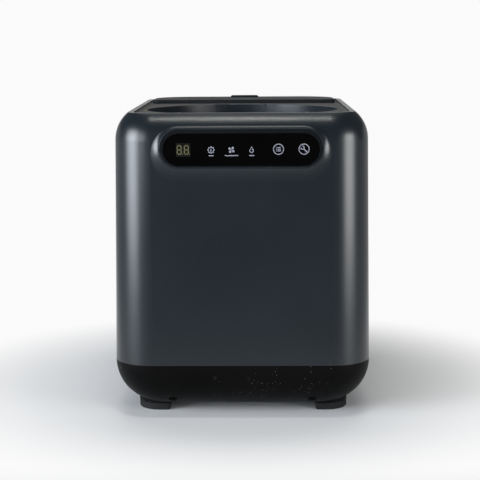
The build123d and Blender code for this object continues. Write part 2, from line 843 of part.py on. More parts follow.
neck_bore = shaft_radius + running_gap + bush_wall
bucket_floor_top = bucket_bottom + bucket_floor
with BuildPart() as bucket:
    with BuildSketch(Plane.XY.offset(bucket_bottom)):
        with Locations(well_place):
            Circle(bucket_radius)
    extrude(amount=bucket_flange_top - bucket_bottom)
    fillet(bucket.edges().group_by(Axis.Z)[0], bucket_floor_round)
    with BuildSketch(Plane.XY.offset(bucket_flange_top - bucket_flange_thickness)):
        with Locations(well_place):
            Circle(bucket_flange_radius)
    extrude(amount=bucket_flange_thickness)
    with BuildSketch(Plane.XY.offset(bucket_floor_top)):
        with Locations(well_place):
            Circle(bucket_radius - bucket_wall)
    extrude(amount=bucket_flange_top - bucket_floor_top, mode=Mode.SUBTRACT)
    with BuildSketch(Plane.XY.offset(bucket_bottom)):
        with Locations(well_place):
            Circle(neck_radius)
    extrude(amount=neck_top - bucket_bottom)
    with BuildSketch(Plane.XY.offset(bucket_bottom)):
        with Locations(well_place):
            Circle(neck_bore)
    extrude(amount=neck_top - bucket_bottom, mode=Mode.SUBTRACT)
save(bucket, "bucket")

with BuildPart() as bucket_bush:
    with BuildSketch(Plane.XY.offset(bucket_bottom)):
        with Locations(well_place):
            Circle(neck_bore)
            Circle(shaft_radius + running_gap, mode=Mode.SUBTRACT)
    extrude(amount=neck_top - bucket_bottom)
save(bucket_bush, "bucket_bush")

fixed_blade_outer = bucket_radius - bucket_wall
with BuildPart() as fixed_blades:
    with BuildSketch(Plane.XY.offset(fixed_blade_bottom)):
        for angle in fixed_blade_angles:
            with Locations(polar(well_place, (fixed_blade_inner + bucket_radius) / 2, angle)):
                Rectangle(bucket_radius - fixed_blade_inner, fixed_blade_width, rotation=angle)
    extrude(amount=fixed_blade_height)
    with BuildSketch(Plane.XY.offset(fixed_blade_bottom)):
        with Locations(well_place):
            Circle(fixed_blade_outer)
    extrude(amount=fixed_blade_height, mode=Mode.INTERSECT)
save(fixed_blades, "fixed_blades")

coupling_bottom = bucket_bottom - fit_gap - coupling_disc
nut_bottom = hub_top
arm_reach = bucket_radius - bucket_wall - arm_gap
with BuildPart() as stirrer_shaft:
    with BuildSketch(Plane.XY.offset(coupling_bottom)):
        with Locations(well_place):
            Circle(shaft_radius)
    extrude(amount=nut_bottom + nut_height / 2 - coupling_bottom)
save(stirrer_shaft, "stirrer_shaft")

with BuildPart() as stirring_blades:
    with BuildSketch(Plane.XY.offset(hub_bottom)):
        with Locations(well_place):
            Circle(hub_radius)
    extrude(amount=hub_top - hub_bottom, taper=hub_taper)
    with BuildSketch(Plane.XY.offset(hub_bottom)):
        with Locations(well_place):
            for angle in arm_angles:
                with Locations(polar((0, 0), arm_reach / 2, angle)):
                    SlotOverall(arm_reach, arm_width, rotation=angle)
    extrude(amount=arm_height, taper=arm_taper)
    with BuildSketch(Plane.XY.offset(upper_arm_bottom)):
        with Locations(well_place):
            for angle in upper_arm_angles:
                with Locations(polar((0, 0), upper_arm_reach / 2, angle)):
                    SlotOverall(upper_arm_reach, arm_width, rotation=angle)
    extrude(amount=arm_height, taper=arm_taper)
    # the hub is a bell over the bucket's neck
    with BuildSketch(Plane.XY.offset(hub_bottom)):
        with Locations(well_place):
            Circle(neck_radius + hub_wall_gap)
    extrude(amount=neck_top + hub_wall_gap - hub_bottom, mode=Mode.SUBTRACT)
    with BuildSketch(Plane.XY.offset(hub_bottom)):
        with Locations(well_place):
            Circle(shaft_radius)
    extrude(amount=hub_top - hub_bottom, mode=Mode.SUBTRACT)
save(stirring_blades, "stirring_blades")

with BuildPart() as stirrer_nut:
    with BuildSketch(Plane.XY.offset(nut_bottom)):
        with Locations(well_place):
            RegularPolygon(nut_across / 2, 6)
    extrude(amount=nut_height)
    fillet(stirrer_nut.edges().group_by(Axis.Z)[-1], 2 * fit_gap)
    with BuildSketch(Plane.XY.offset(nut_bottom)):
        with Locations(well_place):
            Circle(shaft_radius)
    extrude(amount=nut_height / 2, mode=Mode.SUBTRACT)
save(stirrer_nut, "stirrer_nut")

# jaws of the two coupling halves interleave, so the bucket can be lifted straight out
jaw_gap_bottom = coupling_bottom - jaw_height


def jaw_sketch(turn):
    """Plan of the three jaws of one coupling half."""
    with BuildSketch(Plane.XY) as jaws:
        with Locations(well_place):
            Circle(dog_radius)
            Circle(jaw_inner, mode=Mode.SUBTRACT)
        for jaw in range(jaw_count):
            middle = turn + 360 * jaw / jaw_count
            edges = [middle + jaw_angle / 2, middle + 360 / jaw_count - jaw_angle / 2]
            reach = 2 * dog_radius / math.cos(math.radians((edges[1] - edges[0]) / 2))
            with BuildLine():
                Polyline(well_place, polar(well_place, reach, edges[0]),
                         polar(well_place, reach, edges[1]), close=True)
            make_face(mode=Mode.SUBTRACT)
    return jaws.sketch


upper_jaws = jaw_sketch(0)
lower_jaws = jaw_sketch(180 / jaw_count)

with BuildPart() as stirrer_coupling:
    with BuildSketch(Plane.XY.offset(coupling_bottom)):
        with Locations(well_place):
            Circle(dog_radius)
    extrude(amount=coupling_disc)
    with BuildSketch(Plane.XY.offset(jaw_gap_bottom + jaw_tip_gap)):
        add(upper_jaws)
    extrude(amount=jaw_height - jaw_tip_gap)
    with BuildSketch(Plane.XY.offset(coupling_bottom)):
        with Locations(well_place):
            Circle(shaft_radius)
    extrude(amount=coupling_disc, mode=Mode.SUBTRACT)
save(stirrer_coupling, "stirrer_coupling")

# bail handle, folded down towards the front inside the well
bail_radius = bucket_radius - bail_inset
bail_axis_height = bucket_flange_top + bail_lift
ear_inner = bail_radius + bail_wire / 2 + ear_gap
ear_middle = ear_inner + ear_thickness / 2
with BuildPart() as bail_ears:
    with BuildSketch(Plane.XY.offset(bucket_flange_top)):
        with Locations((-ear_middle, well_y), (ear_middle, well_y)):
            Rectangle(ear_thickness, ear_width)
    extrude(amount=bail_axis_height + ear_above_axis - bucket_flange_top)
    fillet(bail_ears.edges().filter_by(Axis.X).group_by(Axis.Z)[-1], ear_above_axis - slip_gap)
    with BuildSketch(Plane.YZ.offset(-2 * ear_middle)):
        with Locations((well_y, bail_axis_height)):
            Circle(bail_pin_diameter / 2 + bail_pin_gap)
    extrude(amount=4 * ear_middle, mode=Mode.SUBTRACT)
save(bail_ears, "bail_ears")

bail_plane = Plane.XY.offset(bail_axis_height)
with BuildPart() as bail_handle:
    with BuildLine(bail_plane):
        CenterArc(well_place, bail_radius, 180, 180)
    with BuildSketch(Plane(origin=(bail_radius, well_y, bail_axis_height), z_dir=(0, -1, 0))):
        Circle(bail_wire / 2)
    sweep()
    for side in (-1, 1):
        with BuildSketch(Plane(origin=(side * (bail_radius - bail_wire / 4), well_y,
                                       bail_axis_height), z_dir=(side, 0, 0))):
            Circle(bail_pin_diameter / 2)
        extrude(amount=bail_pin_length + bail_wire / 4)
save(bail_handle, "bail_handle")

with BuildPart() as bail_grip:
    with BuildLine(bail_plane):
        CenterArc(well_place, bail_radius, 270 - grip_half_angle, 2 * grip_half_angle)
    grip_start = polar(well_place, bail_radius, 270 - grip_half_angle)
    grip_way = polar((0, 0), 1, -grip_half_angle)
    with BuildSketch(Plane(origin=(*grip_start, bail_axis_height), z_dir=(*grip_way, 0))):
        Circle(grip_diameter / 2)
        Circle(bail_wire / 2, mode=Mode.SUBTRACT)
    sweep()
save(bail_grip, "bail_grip")

# ==================================== heated chamber ===================================

chamber_inner = bucket_radius + chamber_gap
chamber_flange_radius = chamber_outer + chamber_flange_out
duct_top = chamber_top - duct_drop
port_bottom = duct_top - duct_wall - port_height
with BuildPart() as heated_chamber:
    with BuildSketch(Plane.XY.offset(chamber_bottom)):
        with Locations(well_place):
            Circle(chamber_outer)
    extrude(amount=chamber_top - chamber_bottom)
    with BuildSketch(Plane.XY.offset(chamber_top - chamber_flange_thickness)):
        with Locations(well_place):
            Circle(chamber_flange_radius)
    extrude(amount=chamber_flange_thickness)
    with BuildSketch(Plane.XY.offset(chamber_bottom + chamber_wall)):
        with Locations(well_place):
            Circle(chamber_inner)
    extrude(amount=chamber_top - chamber_bottom, mode=Mode.SUBTRACT)
    with BuildSketch(Plane.XY.offset(chamber_bottom)):
        with Locations(well_place):
            Circle(coupling_hole_radius)
    extrude(amount=chamber_wall, mode=Mode.SUBTRACT)
    with BuildSketch(Plane.XY.offset(chamber_top - chamber_flange_thickness)):
        with Locations(*chamber_screw_places):
            Circle(chamber_screw_diameter / 2 + fit_gap)
    extrude(amount=chamber_flange_thickness, mode=Mode.SUBTRACT)
    # air leaves through a port near the top
    with BuildSketch(Plane.XY.offset(port_bottom)):
        with Locations((duct_x, well_y + chamber_outer)):
            Rectangle(duct_width - 2 * duct_wall, chamber_outer)
    extrude(amount=port_height - duct_wall, mode=Mode.SUBTRACT)
save(heated_chamber, "heated_chamber")

with BuildPart() as chamber_screws:
    with BuildSketch(Plane.XY.offset(chamber_top - chamber_flange_thickness
                                     - chamber_screw_head_height)):
        with Locations(*chamber_screw_places):
            Circle(chamber_screw_head / 2)
    extrude(amount=chamber_screw_head_height)
    with BuildSketch(Plane.XY.offset(chamber_top - chamber_flange_thickness)):
        with Locations(*chamber_screw_places):
            Circle(chamber_screw_diameter / 2)
    extrude(amount=chamber_screw_length)
save(chamber_screws, "chamber_screws")

with BuildPart() as heater_band:
    with BuildSketch(Plane.XY.offset(heater_bottom)):
        with Locations(well_place):
            Circle(chamber_outer + heater_thickness)
            Circle(chamber_outer, mode=Mode.SUBTRACT)
    extrude(amount=heater_height)
save(heater_band, "heater_band")

wrap_top = chamber_top - wrap_drop
with BuildPart() as insulation_wrap:
    with BuildSketch(Plane.XY.offset(heater_bottom)):
        with Locations(well_place):
            Circle(wrap_inner + wrap_thickness)
            Circle(wrap_inner, mode=Mode.SUBTRACT)
        with Locations(polar(well_place, wrap_inner, 0)):
            Rectangle(4 * wrap_thickness, wrap_slit, mode=Mode.SUBTRACT)
    extrude(amount=wrap_top - heater_bottom)
save(insulation_wrap, "insulation_wrap")

with BuildPart() as temperature_sensor:
    with BuildSketch(Plane.XY.offset(chamber_bottom - sensor_height)):
        with Locations(polar(well_place, sensor_ring, sensor_angle)):
            Circle(sensor_diameter / 2)
    extrude(amount=sensor_height)
save(temperature_sensor, "temperature_sensor")

with BuildPart() as thermal_fuse:
    with BuildSketch(Plane.XY.offset(chamber_bottom - fuse_height)):
        with Locations(polar(well_place, sensor_ring, fuse_angle)):
            Rectangle(fuse_width, fuse_depth, rotation=fuse_angle + 90)
    extrude(amount=fuse_height)
save(thermal_fuse, "thermal_fuse")

# ======================================== drive ========================================


case_inside = case_outline(case_margin)
case_outside = case_outline(case_margin + case_wall)
axle_places = [second_place, first_place]
step_radius = shaft_radius + running_gap

with BuildPart() as gearbox_lower:
    with BuildSketch(Plane.XY.offset(case_bottom)):
        add(case_outside)
        with Locations(*lug_places):
            Circle(case_lug_radius)
    extrude(amount=case_split - case_bottom)
    with BuildSketch(Plane.XY.offset(case_bottom + case_wall)):
        add(case_inside)
    extrude(amount=case_split - case_bottom, mode=Mode.SUBTRACT)
    with BuildSketch(Plane.XY.offset(case_bottom)):
        with Locations(well_place):
            Circle(step_radius)
        with Locations(*axle_places):
            Circle(pin_radius)
    extrude(amount=case_wall, mode=Mode.SUBTRACT)
    with BuildSketch(Plane.XY.offset(case_bottom)):
        with Locations(*lug_places):
            Circle(case_screw_diameter / 2)
    extrude(amount=case_split - case_bottom, mode=Mode.SUBTRACT)
save(gearbox_lower, "gearbox_lower")

with BuildPart() as gearbox_upper:
    with BuildSketch(Plane.XY.offset(case_split)):
        add(case_outside)
        with Locations(*lug_places):
            Circle(case_lug_radius)
    extrude(amount=case_top - case_split)
    with BuildSketch(Plane.XY.offset(case_split)):
        add(case_inside)
    extrude(amount=case_top - case_wall - case_split, mode=Mode.SUBTRACT)
    # sleeve that carries the output bearing
    with BuildSketch(Plane.XY.offset(case_top - case_wall)):
        with Locations(well_place):
            Circle(bearing_outer + case_wall)
    extrude(amount=bearing_width + case_wall)
    with BuildSketch(Plane.XY.offset(case_top)):
        with Locations(well_place):
            Circle(bearing_outer)
    extrude(amount=bearing_width, mode=Mode.SUBTRACT)
    with BuildSketch(Plane.XY.offset(case_top - case_wall)):
        with Locations(well_place):
            Circle(shaft_radius + fit_gap)
        with Locations(*axle_places):
            Circle(pin_radius)
        with Locations(motor_place):
            Circle(motor_shaft_radius + motor_hole_gap)
    extrude(amount=case_wall, mode=Mode.SUBTRACT)
    with BuildSketch(Plane.XY.offset(case_split)):
        with Locations(*lug_places):
            Circle(case_screw_diameter / 2)
    extrude(amount=case_top - case_split, mode=Mode.SUBTRACT)
save(gearbox_upper, "gearbox_upper")

with BuildPart() as gearbox_screws:
    with BuildSketch(Plane.XY.offset(floor_top)):
        with Locations(*lug_places):
            Circle(case_screw_diameter / 2)
    extrude(amount=case_top - floor_top)
    with BuildSketch(Plane.XY.offset(case_top)):
        with Locations(*lug_places):
            Circle(case_screw_diameter)
    extrude(amount=case_screw_diameter)
save(gearbox_screws, "gearbox_screws")

with BuildPart() as output_bearing:
    with BuildSketch(Plane.XY.offset(case_top)):
        with Locations(well_place):
            Circle(bearing_outer)
            Circle(step_radius, mode=Mode.SUBTRACT)
    extrude(amount=bearing_width)
save(output_bearing, "output_bearing")

with BuildPart() as output_gear:
    with BuildSketch(Plane((*well_place, output_level))):
        with BuildLine():
            Polyline(*gear_points(output_teeth, output_module, 0), close=True)
        make_face()
        Circle(shaft_radius, mode=Mode.SUBTRACT)
    extrude(amount=output_width)
save(output_gear, "output_gear")

dog_bottom_height = jaw_gap_bottom - dog_disc
with BuildPart() as output_shaft:
    with BuildSketch(Plane.XY.offset(case_bottom)):
        with Locations(well_place):
            Circle(shaft_radius)
    extrude(amount=dog_bottom_height + dog_disc - case_bottom)
save(output_shaft, "output_shaft")

with BuildPart() as drive_dog:
    with BuildSketch(Plane.XY.offset(dog_bottom_height)):
        with Locations(well_place):
            Circle(dog_radius)
    extrude(amount=dog_disc)
    with BuildSketch(Plane.XY.offset(jaw_gap_bottom)):
        add(lower_jaws)
    extrude(amount=jaw_height - jaw_tip_gap)
    with BuildSketch(Plane.XY.offset(dog_bottom_height)):
        with Locations(well_place):
            Circle(shaft_radius)
    extrude(amount=dog_disc, mode=Mode.SUBTRACT)
save(drive_dog, "drive_dog")


def step_gear(place, pinion_level, pinion_width, pinion_module, pinion_turn,
              wheel_level, wheel_width, wheel_teeth, wheel_module):
    """A wheel and a pinion in one piece, turning on a fixed pin."""
    with BuildPart() as gear:
        with BuildSketch(Plane((*place, wheel_level))):
            with BuildLine():
                Polyline(*gear_points(wheel_teeth, wheel_module, 0), close=True)
            make_face()
        extrude(amount=wheel_width)
        with BuildSketch(Plane((*place, pinion_level))):
            with BuildLine():
                Polyline(*gear_points(pinion_teeth, pinion_module, pinion_turn), close=True)
            make_face()
        extrude(amount=pinion_width + gear_gap)
        # collars that keep the gear at its height between the case walls
        with BuildSketch(Plane.XY.offset(case_bottom + case_wall + gear_end_gap)):
            with Locations(place):
                Circle(pin_radius + case_wall)
        extrude(amount=case_top - case_bottom - 2 * (case_wall + gear_end_gap))
        with BuildSketch(Plane.XY.offset(case_bottom)):
            with Locations(place):
                Circle(pin_radius + running_gap)
        extrude(amount=case_top - case_bottom, mode=Mode.SUBTRACT)
    return gear


second_gear = step_gear(second_place, output_level, output_width, output_module, second_pinion_turn,
                        middle_level, middle_width, middle_teeth, middle_module)
save(second_gear, "second_gear")

first_gear = step_gear(first_place, middle_level, middle_width, middle_module, first_pinion_turn,
                       first_level, first_width, first_teeth, first_module)
save(first_gear, "first_gear")

with BuildPart() as gear_pins:
    with BuildSketch(Plane.XY.offset(case_bottom)):
        with Locations(*axle_places):
            Circle(pin_radius)
    extrude(amount=case_top - case_bottom)
save(gear_pins, "gear_pins")

motor_top = case_top + motor_length
with BuildPart() as motor_case:
    with BuildSketch(Plane.XY.offset(case_top)):
        with Locations(motor_place):
            Circle(motor_radius)
    extrude(amount=motor_length)
    fillet(motor_case.edges().group_by(Axis.Z)[-1], motor_wall)
    with BuildSketch(Plane.XY.offset(case_top + motor_wall)):
        with Locations(motor_place):
            Circle(motor_radius - motor_wall)
    extrude(amount=motor_length - 2 * motor_wall, mode=Mode.SUBTRACT)
    with BuildSketch(Plane.XY.offset(case_top)):
        with Locations(motor_place):
            Circle(motor_shaft_radius + running_gap)
    extrude(amount=motor_length, mode=Mode.SUBTRACT)
save(motor_case, "motor_case")

magnet_bottom = case_top + (motor_length - armature_length) / 2
with BuildPart() as motor_magnets:
    with BuildSketch(Plane.XY.offset(magnet_bottom)):
        with Locations(motor_place):
            Circle(motor_radius - motor_wall)
            Circle(motor_radius - motor_wall - magnet_thickness, mode=Mode.SUBTRACT)
            Rectangle(motor_wall + magnet_thickness, 2 * motor_radius, mode=Mode.SUBTRACT)
    extrude(amount=armature_length)
save(motor_magnets, "motor_magnets")

with BuildPart() as motor_rotor:
    with BuildSketch(Plane.XY.offset(first_level)):
        with Locations(motor_place):
            Circle(motor_shaft_radius)
    extrude(amount=motor_top - first_level)
    with BuildSketch(Plane.XY.offset(magnet_bottom)):
        with Locations(motor_place):
            Circle(armature_radius)
    extrude(amount=armature_length)
save(motor_rotor, "motor_rotor")

with BuildPart() as motor_pinion:
    with BuildSketch(Plane((*motor_place, first_level))):
        with BuildLine():
            Polyline(*gear_points(pinion_teeth, first_module, motor_pinion_turn), close=True)
        make_face()
        Circle(motor_shaft_radius, mode=Mode.SUBTRACT)
    extrude(amount=first_width)
save(motor_pinion, "motor_pinion")

# =============================== filter, fan and air duct ==============================

bay_floor = bay_floor_top - bay_wall
cassette_bottom = bay_floor_top + gasket_thickness
cassette_half_width = bay_half_width - cassette_gap
cassette_span = bay_span - 2 * cassette_gap
window_height = grille_rise - 2 * grille_overlap
with BuildPart() as filter_bay:
    with BuildSketch(Plane.XY.offset(bay_floor)):
        with Locations((0, bay_middle)):
            Rectangle(2 * (bay_half_width + bay_wall), bay_span + 2 * bay_wall)
    extrude(amount=deck_bottom - bay_floor)
    with BuildSketch(Plane.XY.offset(bay_floor_top)):
        with Locations((0, bay_middle)):
            Rectangle(2 * bay_half_width, bay_span)
    extrude(amount=deck_bottom - bay_floor_top, mode=Mode.SUBTRACT)
    with BuildSketch(Plane.XY.offset(bay_floor)):
        with Locations(fan_place):
            Circle(fan_bore_radius - fan_throat_inset)
    extrude(amount=bay_wall, mode=Mode.SUBTRACT)
    # throat that leads the cleaned air to the rear grille
    throat_width = grille_width - 2 * grille_overlap
    with BuildSketch(Plane.XZ.offset(-(grille_y - shell_wall - fit_gap - grille_rise * lean))):
        with Locations((0, grille_height)):
            RectangleRounded(throat_width, window_height, grille_bar)
    extrude(amount=grille_y - shell_wall - fit_gap - grille_rise * lean - bay_rear)
    with BuildSketch(Plane.XZ.offset(-grille_y)):
        with Locations((0, grille_height)):
            RectangleRounded(throat_width - 2 * bay_wall, window_height - 2 * bay_wall, grille_bar)
    extrude(amount=grille_y - bay_rear + bay_wall, mode=Mode.SUBTRACT)
save(filter_bay, "filter_bay")

cap_middle = (cap_front + cap_rear) / 2
cap_bottom = cap_top - cap_thickness
skirt_bottom = deck_top + fit_gap
skirt_rear = mouth_half_depth - fit_gap - cap_skirt


def cap_plan(inset):
    """Plan of the filter cap: tight front corners and wide rear ones."""
    with BuildSketch(Plane.XY) as plan:
        with Locations((0, cap_middle)):
            Rectangle(2 * (cap_half_width - inset), cap_rear - cap_front - 2 * inset)
        fillet(plan.vertices().group_by(Axis.Y)[0], cap_front_corner - inset)
        fillet(plan.vertices().group_by(Axis.Y)[-1], cap_rear_corner - inset)
    return plan.sketch


cap_outline = cap_plan(0)
cap_inside = cap_plan(cap_skirt)
with BuildPart() as cassette_cap:
    with BuildSketch(Plane.XY.offset(cap_bottom)):
        add(cap_outline)
    extrude(amount=cap_thickness)
    with BuildSketch(Plane.XY.offset(skirt_bottom)):
        add(cap_outline)
        add(cap_inside, mode=Mode.SUBTRACT)
    extrude(amount=cap_bottom - skirt_bottom)
    # the skirt stops short of the rim at the rear and sides
    with BuildSketch(Plane.XY.offset(skirt_bottom)):
        with Locations((0, skirt_rear + seam_depth / 2)):
            Rectangle(seam_width, seam_depth)
    extrude(amount=cap_bottom - skirt_bottom, mode=Mode.SUBTRACT)
    fillet(cassette_cap.edges().group_by(Axis.Z)[-1], cap_edge)
    # pull tab at the rear edge
    with BuildSketch(Plane.XY.offset(cap_bottom)):
        with Locations((0, cap_rear - tab_depth / 2)):
            Rectangle(tab_width, tab_depth)
    extrude(amount=cap_thickness + tab_height)
    chamfer(cassette_cap.edges().filter_by(Axis.Y).group_by(Axis.Z)[-1], tab_chamfer)
save(cassette_cap, "cassette_cap")

with BuildPart() as cassette_body:
    with BuildSketch(Plane.XY.offset(cassette_bottom)):
        with Locations((0, bay_middle)):
            RectangleRounded(2 * cassette_half_width, cassette_span, cassette_corner)
    extrude(amount=cap_bottom - cassette_bottom)
    with BuildSketch(Plane.XY.offset(cassette_bottom + cassette_wall)):
        with Locations((0, bay_middle)):
            Rectangle(2 * (cassette_half_width - cassette_wall), cassette_span - 2 * cassette_wall)
            Rectangle(cassette_wall, cassette_span, mode=Mode.SUBTRACT)
    extrude(amount=cap_bottom - cassette_bottom - cassette_wall, mode=Mode.SUBTRACT)
    # inlet slots in the floor
    with BuildSketch(Plane.XY.offset(cassette_bottom)):
        for half in (-1, 1):
            with Locations((half * cassette_half_width / 2, bay_middle)):
                with GridLocations(vent_slot_pitch, 0, cassette_inlet_slots, 1):
                    SlotOverall(cassette_span - 6 * cassette_wall, vent_slot_width, rotation=90)
    extrude(amount=cassette_wall, mode=Mode.SUBTRACT)
    # outlet slots in the rear wall
    with BuildSketch(Plane.XZ.offset(-(bay_rear - cassette_gap))):
        for half in (-1, 1):
            with Locations((half * throat_width / 4, grille_height)):
                with GridLocations(vent_slot_pitch, 0, cassette_outlet_slots, 1):
                    SlotOverall(window_height, vent_slot_width, rotation=90)
    extrude(amount=cassette_wall, mode=Mode.SUBTRACT)
save(cassette_body, "cassette_body")

pack_width = cassette_half_width - 1.5 * cassette_wall - 2 * carbon_clear
pack_top = cap_bottom - 6 * cassette_wall
with BuildPart() as carbon_packs:
    with BuildSketch(Plane.XY.offset(cassette_bottom + cassette_wall)):
        for half in (-1, 1):
            with Locations((half * (cassette_wall / 2 + carbon_clear + pack_width / 2), bay_middle)):
                Rectangle(pack_width, cassette_span - 2 * (cassette_wall + carbon_clear))
    extrude(amount=pack_top - cassette_bottom - cassette_wall)
    chamfer(carbon_packs.edges().filter_by(Axis.Z), 2 * cassette_wall)
save(carbon_packs, "carbon_packs")

with BuildPart() as filter_gasket:
    with BuildSketch(Plane.XY.offset(bay_floor_top)):
        with Locations((0, bay_middle)):
            Rectangle(2 * cassette_half_width, cassette_span)
            Rectangle(2 * cassette_half_width - 4 * cassette_wall, cassette_span - 4 * cassette_wall,
                      mode=Mode.SUBTRACT)
    extrude(amount=gasket_thickness)
save(filter_gasket, "filter_gasket")

fan_top = bay_floor
fan_bottom = fan_top - fan_depth
fan_floor = fan_bottom + fan_boss_height
with BuildPart() as fan_frame:
    with BuildSketch(Plane.XY.offset(fan_bottom)):
        with Locations(fan_place):
            RectangleRounded(fan_size, fan_size, fan_corner)
            Circle(fan_bore_radius, mode=Mode.SUBTRACT)
    extrude(amount=fan_depth)
    with BuildSketch(Plane.XY.offset(fan_bottom)):
        with Locations(fan_place):
            Circle(fan_hub_radius)
            Rectangle(2 * fan_bore_radius + fan_spoke_width, fan_spoke_width)
            Rectangle(fan_spoke_width, 2 * fan_bore_radius + fan_spoke_width)
    extrude(amount=fan_boss_height)
    with BuildSketch(Plane.XY.offset(fan_bottom)):
        with Locations(fan_place):
            Circle(fan_pin_radius + running_gap)
    extrude(amount=fan_boss_height, mode=Mode.SUBTRACT)
save(fan_frame, "fan_frame")

blade_reach = fan_bore_radius - fan_tip_gap
hub_low = fan_floor + fan_tip_gap
with BuildPart() as fan_impeller:
    blade_middle = hub_low + fan_hub_height / 2
    for blade in range(fan_blades):
        angle = 360 * blade / fan_blades
        root = polar(fan_place, fan_hub_radius / 2, angle)
        tip_way = polar((0, 0), 1, angle)
        across = Plane(origin=(*root, blade_middle), x_dir=(-tip_way[1], tip_way[0], 0),
                       z_dir=(*tip_way, 0))
        with BuildSketch(across):
            Rectangle(fan_hub_height, fan_blade_thickness, rotation=fan_blade_pitch)
        extrude(amount=blade_reach)
    with BuildSketch(Plane.XY.offset(hub_low)):
        with Locations(fan_place):
            Circle(blade_reach)
    extrude(amount=fan_hub_height, mode=Mode.INTERSECT)
    with BuildSketch(Plane.XY.offset(hub_low)):
        with Locations(fan_place):
            Circle(fan_hub_radius)
    extrude(amount=fan_hub_height)
    with BuildSketch(Plane.XY.offset(fan_bottom)):
        with Locations(fan_place):
            Circle(fan_pin_radius)
    extrude(amount=fan_hub_height)
save(fan_impeller, "fan_impeller")

plenum_bottom = fan_bottom - plenum_height
plenum_front = bay_middle - fan_size / 2
duct_front = well_y + wrap_inner + wrap_thickness + duct_gap
duct_rear = plenum_front
duct_depth = duct_rear - duct_front
duct_inner_width = duct_width - 2 * duct_wall
with BuildPart() as fan_plenum:
    with BuildSketch(Plane.XY.offset(plenum_bottom)):
        with Locations(fan_place):
            Rectangle(fan_size, fan_size)
    extrude(amount=plenum_height)
    with BuildSketch(Plane.XY.offset(plenum_bottom + plenum_wall)):
        with Locations(fan_place):
            Rectangle(fan_size - 2 * plenum_wall, fan_size - 2 * plenum_wall)
    extrude(amount=plenum_height - plenum_wall, mode=Mode.SUBTRACT)
    with BuildSketch(Plane.XY.offset(plenum_bottom + plenum_wall)):
        with Locations((duct_x, plenum_front)):
            Rectangle(duct_inner_width - 2 * duct_wall, 4 * plenum_wall)
    extrude(amount=plenum_height - 2 * plenum_wall, mode=Mode.SUBTRACT)
save(fan_plenum, "fan_plenum")

with BuildPart() as air_duct:
    with BuildSketch(Plane.XY.offset(plenum_bottom)):
        with Locations((duct_x, duct_front + duct_depth / 2)):
            Rectangle(duct_width, duct_depth)
    extrude(amount=duct_top - plenum_bottom)
    with BuildSketch(Plane.XY.offset(port_bottom - duct_wall)):
        with Locations((duct_x, (well_y + duct_front) / 2)):
            Rectangle(duct_width, duct_front - well_y)
    extrude(amount=duct_top - port_bottom + duct_wall)
    with BuildSketch(Plane.XY.offset(plenum_bottom + duct_wall)):
        with Locations((duct_x, duct_front + duct_depth / 2)):
            Rectangle(duct_inner_width, duct_depth - 2 * duct_wall)
    extrude(amount=duct_top - plenum_bottom - 2 * duct_wall, mode=Mode.SUBTRACT)
    with BuildSketch(Plane.XY.offset(port_bottom)):
        with Locations((duct_x, (well_y + duct_rear - duct_wall) / 2)):
            Rectangle(duct_inner_width, duct_rear - duct_wall - well_y)
    extrude(amount=port_height - duct_wall, mode=Mode.SUBTRACT)
    # the branch ends on the chamber's round wall
    with BuildSketch(Plane.XY.offset(plenum_bottom)):
        with Locations(well_place):
            Circle(chamber_outer)
    extrude(amount=duct_top - plenum_bottom, mode=Mode.SUBTRACT)
    # mouth into the plenum below the fan
    with BuildSketch(Plane.XY.offset(plenum_bottom + plenum_wall)):
        with Locations((duct_x, duct_rear)):
            Rectangle(duct_inner_width - 2 * duct_wall, 4 * duct_wall)
    extrude(amount=plenum_height - 2 * plenum_wall, mode=Mode.SUBTRACT)
save(air_duct, "air_duct")

# ====================================== rear wall ======================================

rear_face = Plane(
    origin=(0, grille_y, grille_height),
    x_dir=(-1, 0, 0),
    z_dir=(0, math.cos(math.radians(side_draft)), math.sin(math.radians(side_draft))),
)
bar_pitch = (grille_rise - 2 * grille_bar) / grille_bars
with BuildPart() as exhaust_grille:
    with BuildSketch(rear_face):
        RectangleRounded(grille_width + 2 * grille_overlap, grille_rise + 2 * grille_overlap,
                         grille_overlap)
    extrude(amount=grille_plate)
    chamfer(exhaust_grille.edges().group_by(Axis.Y)[-1], fit_gap)
    with BuildSketch(rear_face.offset(-shell_wall)):
        RectangleRounded(grille_width - 2 * fit_gap, grille_rise - 2 * fit_gap, grille_bar - fit_gap)
        RectangleRounded(grille_width - 2 * grille_bar, grille_rise - 2 * grille_bar, grille_bar / 2,
                         mode=Mode.SUBTRACT)
    extrude(amount=shell_wall)
    with BuildSketch(rear_face):
        with GridLocations(0, bar_pitch, 1, grille_bars):
            SlotOverall(grille_width - 2 * grille_bar, bar_pitch - grille_bar)
    extrude(amount=grille_plate, mode=Mode.SUBTRACT)
save(exhaust_grille, "exhaust_grille")

inlet_face = Plane(
    origin=(inlet_x, inlet_y, inlet_height),
    x_dir=(-1, 0, 0),
    z_dir=(0, math.cos(math.radians(side_draft)), math.sin(math.radians(side_draft))),
)
with BuildPart() as power_inlet:
    with BuildSketch(inlet_face):
        RectangleRounded(inlet_width, inlet_rise, inlet_corner)
    extrude(amount=inlet_flange)
    with BuildSketch(inlet_face.offset(inlet_flange - inlet_body_depth)):
        Rectangle(inlet_body_width, inlet_body_rise)
    extrude(amount=inlet_body_depth)
    with BuildSketch(inlet_face.offset(inlet_flange)):
        RectangleRounded(inlet_socket_width, inlet_socket_rise, inlet_corner)
    extrude(amount=-inlet_socket_depth, mode=Mode.SUBTRACT)
save(power_inlet, "power_inlet")

with BuildPart() as inlet_pins:
    with BuildSketch(inlet_face.offset(inlet_flange - inlet_socket_depth)):
        with Locations((-inlet_pin_pitch, inlet_pin_offset), (0, -inlet_pin_offset),
                       (inlet_pin_pitch, inlet_pin_offset)):
            Rectangle(inlet_pin_thickness, inlet_pin_width)
    extrude(amount=inlet_pin_length)
save(inlet_pins, "inlet_pins")

# ===================================== electronics =====================================

